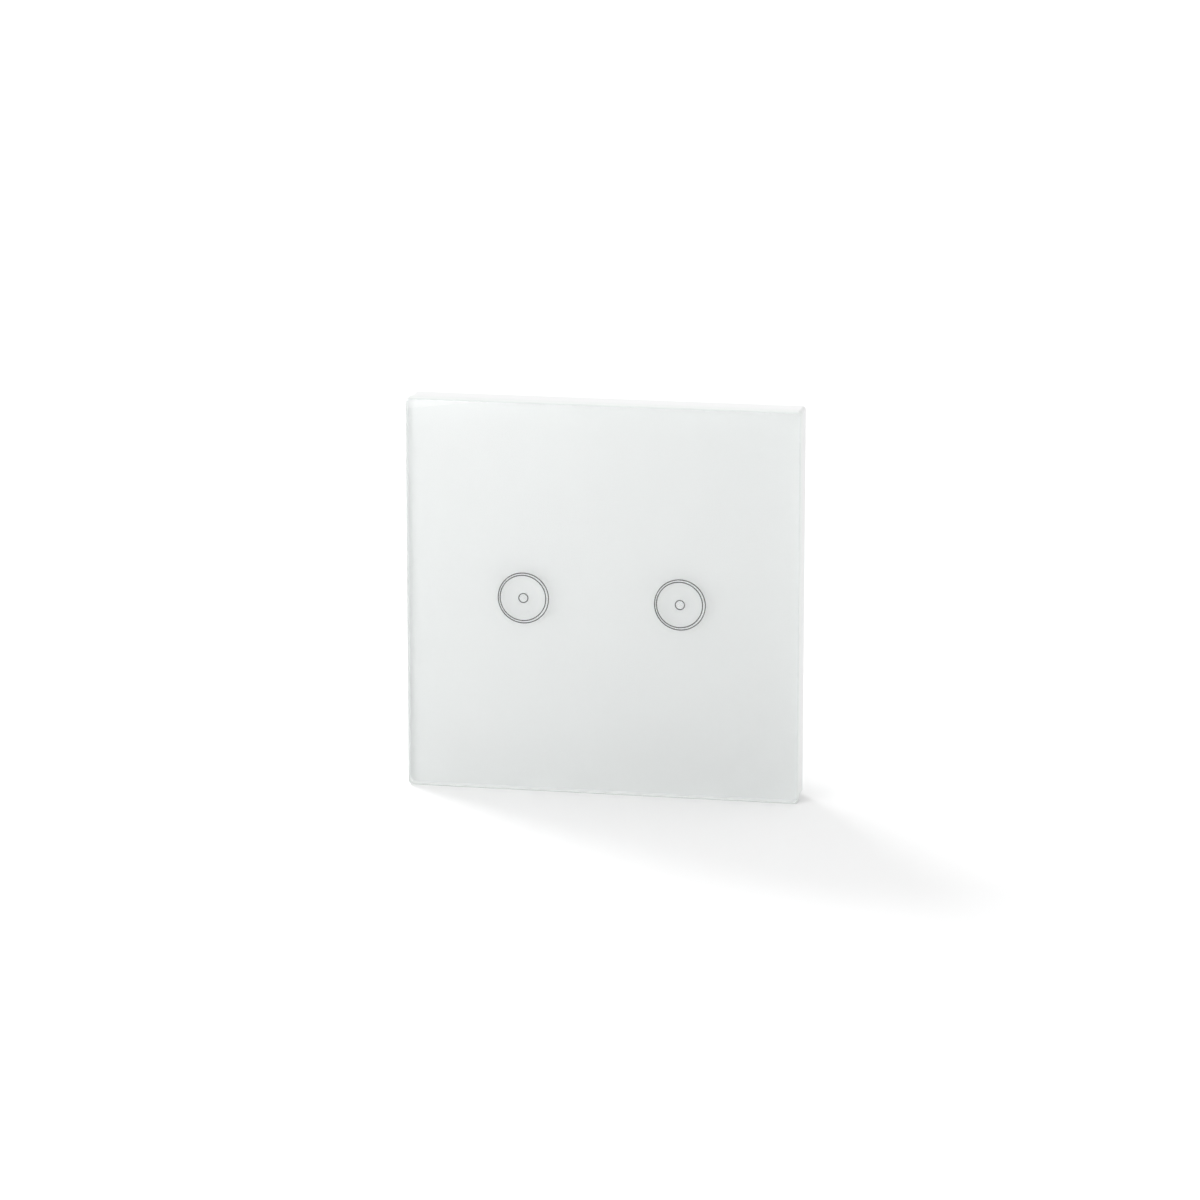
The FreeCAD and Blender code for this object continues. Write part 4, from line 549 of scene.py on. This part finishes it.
def join(tree, shapes):
    """All the shapes in one, in their order."""
    joined = add_node(tree, "GeometryNodeJoinGeometry")
    for shape in shapes:
        feed(tree, joined, Geometry=shape)
    return joined.outputs["Geometry"]


def finish_tree(tree, end, shape, paint):
    """Ends a tree in Realize Instances and Set Material."""
    real = result(tree, "GeometryNodeRealizeInstances", Geometry=shape)
    feed(tree, end, Geometry=result(tree, "GeometryNodeSetMaterial", Geometry=real, Material=paint))


print("geometry helpers ready")

# %% From a tree to a plain mesh
def grow(name, tree, sizes, body):
    """Runs a tree with the given sizes and keeps its result as a plain mesh on a body."""
    seed = add_object(name + "_seed", bpy.data.meshes.new(name + "_seed"))
    modifier = seed.modifiers.new("grow", "NODES")
    modifier.node_group = tree
    for item in tree.interface.items_tree:
        if item.in_out == "INPUT" and item.name in sizes:
            modifier[item.identifier] = sizes[item.name]
    seen = seed.evaluated_get(bpy.context.evaluated_depsgraph_get())
    mesh = bpy.data.meshes.new_from_object(seen)
    mesh.name = name
    seed.modifiers.remove(modifier)
    bpy.data.objects.remove(seed)
    piece = add_object(name, mesh)
    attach(piece, body)
    print(name, len(mesh.polygons), "faces on", body)
    return piece


print("ready to grow")

# %% [markdown]
# ## Key outlines
#
# Each key mark is drawn with three fine grey lines: two round the pale ring and one round the
# dot. A circle for each line is swept with a small rectangle, the three are joined, and the set
# is placed on one point for each key, so all lines keep one width. The inner circle sits a
# little to the left of the outer one, as on the real switch, so that the band between them is
# wider on the right.

# %% The tree of the outlines
OUTLINE_SIZES = {
    "Key distance": key_x,
    "Outer radius": RING_OUTER_R,
    "Inner radius": 5.0 * MM,
    "Inner shift": 0.09 * MM,
    "Dot radius": 1.0 * MM,
    "Line width": LINE_W,
    "Front": front_y,
    "Line rise": 0.012 * MM,
    "Line depth": 0.06 * MM,
}
# the radius of each line, with its shift to the left where it has one
CIRCLES = {"Outer radius": None, "Inner radius": "Inner shift", "Dot radius": None}
CIRCLE_POINTS = 96
KEYS = 2

finish("outline_ink", (0.06, 0.062, 0.062), 0.35, vary=0.03, bump=0.05)
tree, sizes, end = new_tree("key_outlines", OUTLINE_SIZES)
tall = maths(tree, "ADD", sizes["Line rise"], sizes["Line depth"])
stroke = result(
    tree, "GeometryNodeCurvePrimitiveQuadrilateral", Width=sizes["Line width"], Height=tall
)
lines = []
for radius, shift in CIRCLES.items():
    circle = result(
        tree, "GeometryNodeCurvePrimitiveCircle", Resolution=CIRCLE_POINTS, Radius=sizes[radius]
    )
    line = result(tree, "GeometryNodeCurveToMesh", Curve=circle, Profile_Curve=stroke)
    left = maths(tree, "MULTIPLY", sizes[shift], -1.0) if shift else 0.0
    lines.append(move(tree, line, TO_FRONT, x=left))
sunk = maths(tree, "SUBTRACT", sizes["Line depth"], sizes["Line rise"])
middle_y = maths(tree, "ADD", sizes["Front"], maths(tree, "MULTIPLY", sunk, 0.5))
left_key = vector(tree, x=maths(tree, "MULTIPLY", sizes["Key distance"], -1.0), y=middle_y)
apart = vector(tree, x=maths(tree, "MULTIPLY", sizes["Key distance"], 2.0))
keys = result(tree, "GeometryNodeMeshLine", Count=KEYS, Start_Location=left_key, Offset=apart)
placed = result(tree, "GeometryNodeInstanceOnPoints", Points=keys, Instance=join(tree, lines))
finish_tree(tree, end, placed, finishes["outline_ink"])
grow("key_outlines", tree, OUTLINE_SIZES, "panel")

# %% [markdown]
# ## Windings of the relays
#
# Each relay's winding is a solid drum in the model. The real one is enamelled copper wire, and
# its outer layer shows as close turns. One long curve follows that rule: a spiral whose radius
# never changes is a helix, and sweeping it with a small circle gives the wire. The tree works
# the number of turns out from the wire and the drum, and both relays use it.

# %% Turns of enamelled wire on both relay windings
WIRE_R = 0.1 * MM
PITCH_IN_RADII = 2.1
TURN_POINTS = 28
WIRE_SIDES = 6


def drum_sizes(node_name):
    """Sizes of one winding, read from its box in the model."""
    low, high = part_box(node_name)
    return {
        "Wire radius": WIRE_R,
        "Drum radius": (high.z - low.z) / 2,
        "Drum length": high.y - low.y,
        "Middle X": (low.x + high.x) / 2,
        "Start Y": low.y,
        "Middle Z": (low.z + high.z) / 2,
    }


metal_finish("enamelled_wire", (0.55, 0.17, 0.05), 0.22, vary=0.06, bump=0.05)
tree, sizes, end = new_tree("wound_wire", drum_sizes("relay_winding_left"))
wire_d = maths(tree, "MULTIPLY", sizes["Wire radius"], 2.0)
wound = maths(tree, "SUBTRACT", sizes["Drum length"], wire_d)
pitch = maths(tree, "MULTIPLY", sizes["Wire radius"], PITCH_IN_RADII)
helix = result(
    tree, "GeometryNodeCurveSpiral", Resolution=TURN_POINTS, Height=wound,
    Rotations=maths(tree, "DIVIDE", wound, pitch),
    Start_Radius=sizes["Drum radius"], End_Radius=sizes["Drum radius"],
)
section = result(
    tree, "GeometryNodeCurvePrimitiveCircle", Resolution=WIRE_SIDES, Radius=sizes["Wire radius"]
)
wire = result(tree, "GeometryNodeCurveToMesh", Curve=helix, Profile_Curve=section, Fill_Caps=True)
first_y = maths(tree, "ADD", sizes["Start Y"], sizes["Wire radius"])
laid = move(tree, wire, TO_BACK, x=sizes["Middle X"], y=first_y, z=sizes["Middle Z"])
finish_tree(tree, end, laid, finishes["enamelled_wire"])
for side in ("left", "right"):
    grow("relay_turns_" + side, tree, drum_sizes("relay_winding_" + side), "root")

# %% [markdown]
# ## Tinned leads
#
# The parts of the power board stand behind it, and their leads go through it to the front. A
# part and its leads are one node in the model, but leads are tinned wire. Splitting the mesh
# would change the model, so a copy of the part's finish turns to bright metal in front of the
# plane where the body starts.

# %% Finishes whose leads are tinned
board_low, board_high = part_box("power_board")
TINNED = (0.62, 0.63, 0.64)
ALL_METAL = (1.0, 1.0, 1.0)
BODY_STARTS = {
    "chip": 0.0,
    "coil_tape": 0.0,
    "aluminium_can": 0.3 * MM,
    "disc_coat": 1.0 * MM,
    "fuse_body": 0.3 * MM,
}
PLANE_PLAY = 0.01 * MM


def with_leads(name, stand_off):
    """A copy of a finish that is tinned metal between the board's back and a part's body."""
    paint = finishes[name].copy()
    paint.name = name + "_with_leads"
    tree = paint.node_tree
    place = add_node(tree, "ShaderNodeTexCoord").outputs["Object"]
    depth = add_node(tree, "ShaderNodeSeparateXYZ", Vector=place).outputs["Y"]
    body_y = board_high.y + stand_off
    lead = spread(tree, depth, 1, 0, body_y - PLANE_PLAY, body_y)
    for input_name, tinned in (("Base Color", TINNED), ("Metallic", ALL_METAL)):
        socket = tree.nodes["Principled BSDF"].inputs[input_name]
        body = socket.links[0].from_socket if socket.is_linked else (socket.default_value,) * 3
        plug(tree, mix_colours(tree, lead, body, tinned), socket)
    return paint


leaded = {name: with_leads(name, stand_off) for name, stand_off in BODY_STARTS.items()}
print(len(leaded), "finishes with tinned leads")

# %% [markdown]
# ## Solder joints
#
# On the front of the power board the solder draws up each pin in a small cone. The tree finds
# the pins by itself. It takes the parts that have pins, keeps only what stands out in front of
# the board, melts each pin's end down to one point and puts a cone there, so a moved or added
# pin gets its joint too.

# %% Solder at every pin of the power board
PINNED = ["terminal_tongues", "relay_base_left", "relay_base_right", "transformer_coil",
          "bulk_capacitor", "output_capacitor", "varistor", "fuse"]
SOLDER_SIZES = {
    "Board front": board_low.y,
    "Board clearance": 0.1 * MM,
    "Pin width": 0.75 * MM,
    "Foot radius": 0.8 * MM,
    "Top radius": 0.42 * MM,
    "Joint height": 0.6 * MM,
}
JOINT_SIDES = 16

metal_finish("solder", (0.72, 0.73, 0.74), 0.24, rough_vary=0.1, bump=0.3, grain=900)
tree, sizes, end = new_tree("solder_joints", SOLDER_SIZES)
pinned = join(tree, [
    add_node(tree, "GeometryNodeObjectInfo", Object=parts[node_name]).outputs["Geometry"]
    for node_name in PINNED
])
position = result(tree, "GeometryNodeInputPosition")
spot = add_node(tree, "ShaderNodeSeparateXYZ", Vector=position).outputs
clear_y = maths(tree, "SUBTRACT", sizes["Board front"], sizes["Board clearance"])
pins = result(
    tree, "GeometryNodeSeparateGeometry", Geometry=pinned,
    Selection=maths(tree, "LESS_THAN", spot["Y"], clear_y),
)
melted = result(tree, "GeometryNodeMergeByDistance", Geometry=pins, Distance=sizes["Pin width"])
feet = result(
    tree, "GeometryNodeSetPosition", Geometry=melted,
    Position=vector(tree, x=spot["X"], y=sizes["Board front"], z=spot["Z"]),
)
cone = result(
    tree, "GeometryNodeMeshCone", Vertices=JOINT_SIDES, Radius_Bottom=sizes["Foot radius"],
    Radius_Top=sizes["Top radius"], Depth=sizes["Joint height"],
)
joints = result(
    tree, "GeometryNodeInstanceOnPoints", Points=feet, Instance=move(tree, cone, TO_FRONT)
)
finish_tree(tree, end, joints, finishes["solder"])
solder = grow("solder_joints", tree, SOLDER_SIZES, "root")

# %% [markdown]
# ## Small parts of the touch board
#
# The free part of the touch board's back carries rows of chip resistors and capacitors. Each is
# a little block with a tinned cap on both ends. They stand in rows with gaps, so the tree takes
# the points of a grid, keeps those whose seeded random value is below a share, and puts a part
# on every point that is left. Bodies and caps are separate pieces, because they differ in finish.

# %% Sizes and fields of the chip parts
board_edge_x, board_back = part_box("touch_board")[1].xy
radio_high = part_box("wifi_module")[1]
header_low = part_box("board_header")[0]
BELOW_RADIO_TOP = 5 * MM
CHIP_SIZES = {
    "Board back": board_back,
    "Length": 1.6 * MM,
    "Width": 0.8 * MM,
    "Height": 0.45 * MM,
    "Cap length": 0.3 * MM,
    "Cap proud": 0.02 * MM,
    "Left share": 0.7,
}
# each field's middle as x and z, its width and height, and its columns and rows
CHIP_FIELDS = {
    "resistors": {
        "middle": (0.0, (radio_high.z + header_low.z) / 2),
        "size": (24 * MM, 10 * MM),
        "count": (7, 5),
        "seed": 3,
    },
    "capacitors": {
        "middle": ((radio_high.x + board_edge_x) / 2, radio_high.z - BELOW_RADIO_TOP),
        "size": (8 * MM, 6 * MM),
        "count": (3, 3),
        "seed": 8,
    },
}
print(len(CHIP_FIELDS), "fields of chip parts")

# %% Points and blocks of the chip parts
def chip_points(tree, sizes, field):
    """The points of one field that are left, on the back of the touch board."""
    (x, z), (across, up), (columns, rows) = field["middle"], field["size"], field["count"]
    grid = result(
        tree, "GeometryNodeMeshGrid", Size_X=across, Size_Y=up, Vertices_X=columns, Vertices_Y=rows
    )
    stood = move(tree, grid, TO_FRONT, x=x, y=sizes["Board back"], z=z)
    chance = add_node(tree, "FunctionNodeRandomValue")
    chance.data_type = "FLOAT"
    feed(tree, chance, Seed=field["seed"])
    drawn = next(socket for socket in chance.outputs if socket.type == "VALUE" and socket.enabled)
    return result(
        tree, "GeometryNodeSeparateGeometry", Geometry=stood,
        Selection=maths(tree, "LESS_THAN", drawn, sizes["Left share"]),
    )


def chip_block(tree, long, deep, wide, x=0.0):
    """A block that stands on the board, long by deep by wide, at x along the part."""
    block = result(tree, "GeometryNodeMeshCube", Size=vector(tree, long, deep, wide))
    return move(tree, block, x=x, y=maths(tree, "MULTIPLY", deep, 0.5))


def chip_shape(tree, sizes, caps):
    """The pair of end caps of one part, or its body between them."""
    if not caps:
        both_caps = maths(tree, "MULTIPLY", sizes["Cap length"], 2.0)
        between = maths(tree, "SUBTRACT", sizes["Length"], both_caps)
        return chip_block(tree, between, sizes["Height"], sizes["Width"])
    deep = maths(tree, "ADD", sizes["Height"], sizes["Cap proud"])
    wide = maths(tree, "ADD", sizes["Width"], maths(tree, "MULTIPLY", sizes["Cap proud"], 2.0))
    between = maths(tree, "SUBTRACT", sizes["Length"], sizes["Cap length"])
    return join(tree, [
        chip_block(tree, sizes["Cap length"], deep, wide, maths(tree, "MULTIPLY", between, side))
        for side in (-0.5, 0.5)
    ])


print("chip helpers ready")

# %% Rows of chip parts
def chip_tree(name, fields, caps, paint):
    """Bodies, or pairs of end caps, on the points of the given fields."""
    tree, sizes, end = new_tree(name, CHIP_SIZES)
    shape = chip_shape(tree, sizes, caps)
    points = join(tree, [chip_points(tree, sizes, CHIP_FIELDS[field]) for field in fields])
    placed = result(tree, "GeometryNodeInstanceOnPoints", Points=points, Instance=shape)
    finish_tree(tree, end, placed, paint)
    return tree


finish("ceramic", (0.42, 0.27, 0.15), 0.45, vary=0.08, bump=0.2, grain=4000)
for name, fields, caps, paint, slot in (
    ("resistor_bodies", ["resistors"], False, "chip", "chip"),
    ("capacitor_bodies", ["capacitors"], False, "ceramic", "chip"),
    ("chip_end_caps", ["resistors", "capacitors"], True, "solder", "shield"),
):
    grow(name, chip_tree(name, fields, caps, finishes[paint]), CHIP_SIZES, "root")

# %% [markdown]
# ## Finishes on the solids
#
# Each solid comes with a plain material in its slot, and the name of that material says what the
# piece is made of. A loop over the slots puts the finish of the same name in its place, so no
# piece has to be named here. The parts with pins take the copy with tinned leads where there is
# one.

# %% Put the finishes on the solids
for solid in [*parts.values(), *printed]:
    for slot in solid.material_slots:
        wanted = slot.material.name.split(".")[0]
        leads = leaded.get(wanted) if solid.name in PINNED else None
        slot.material = leads or finishes[wanted]
print(len(finishes), "finishes in use")
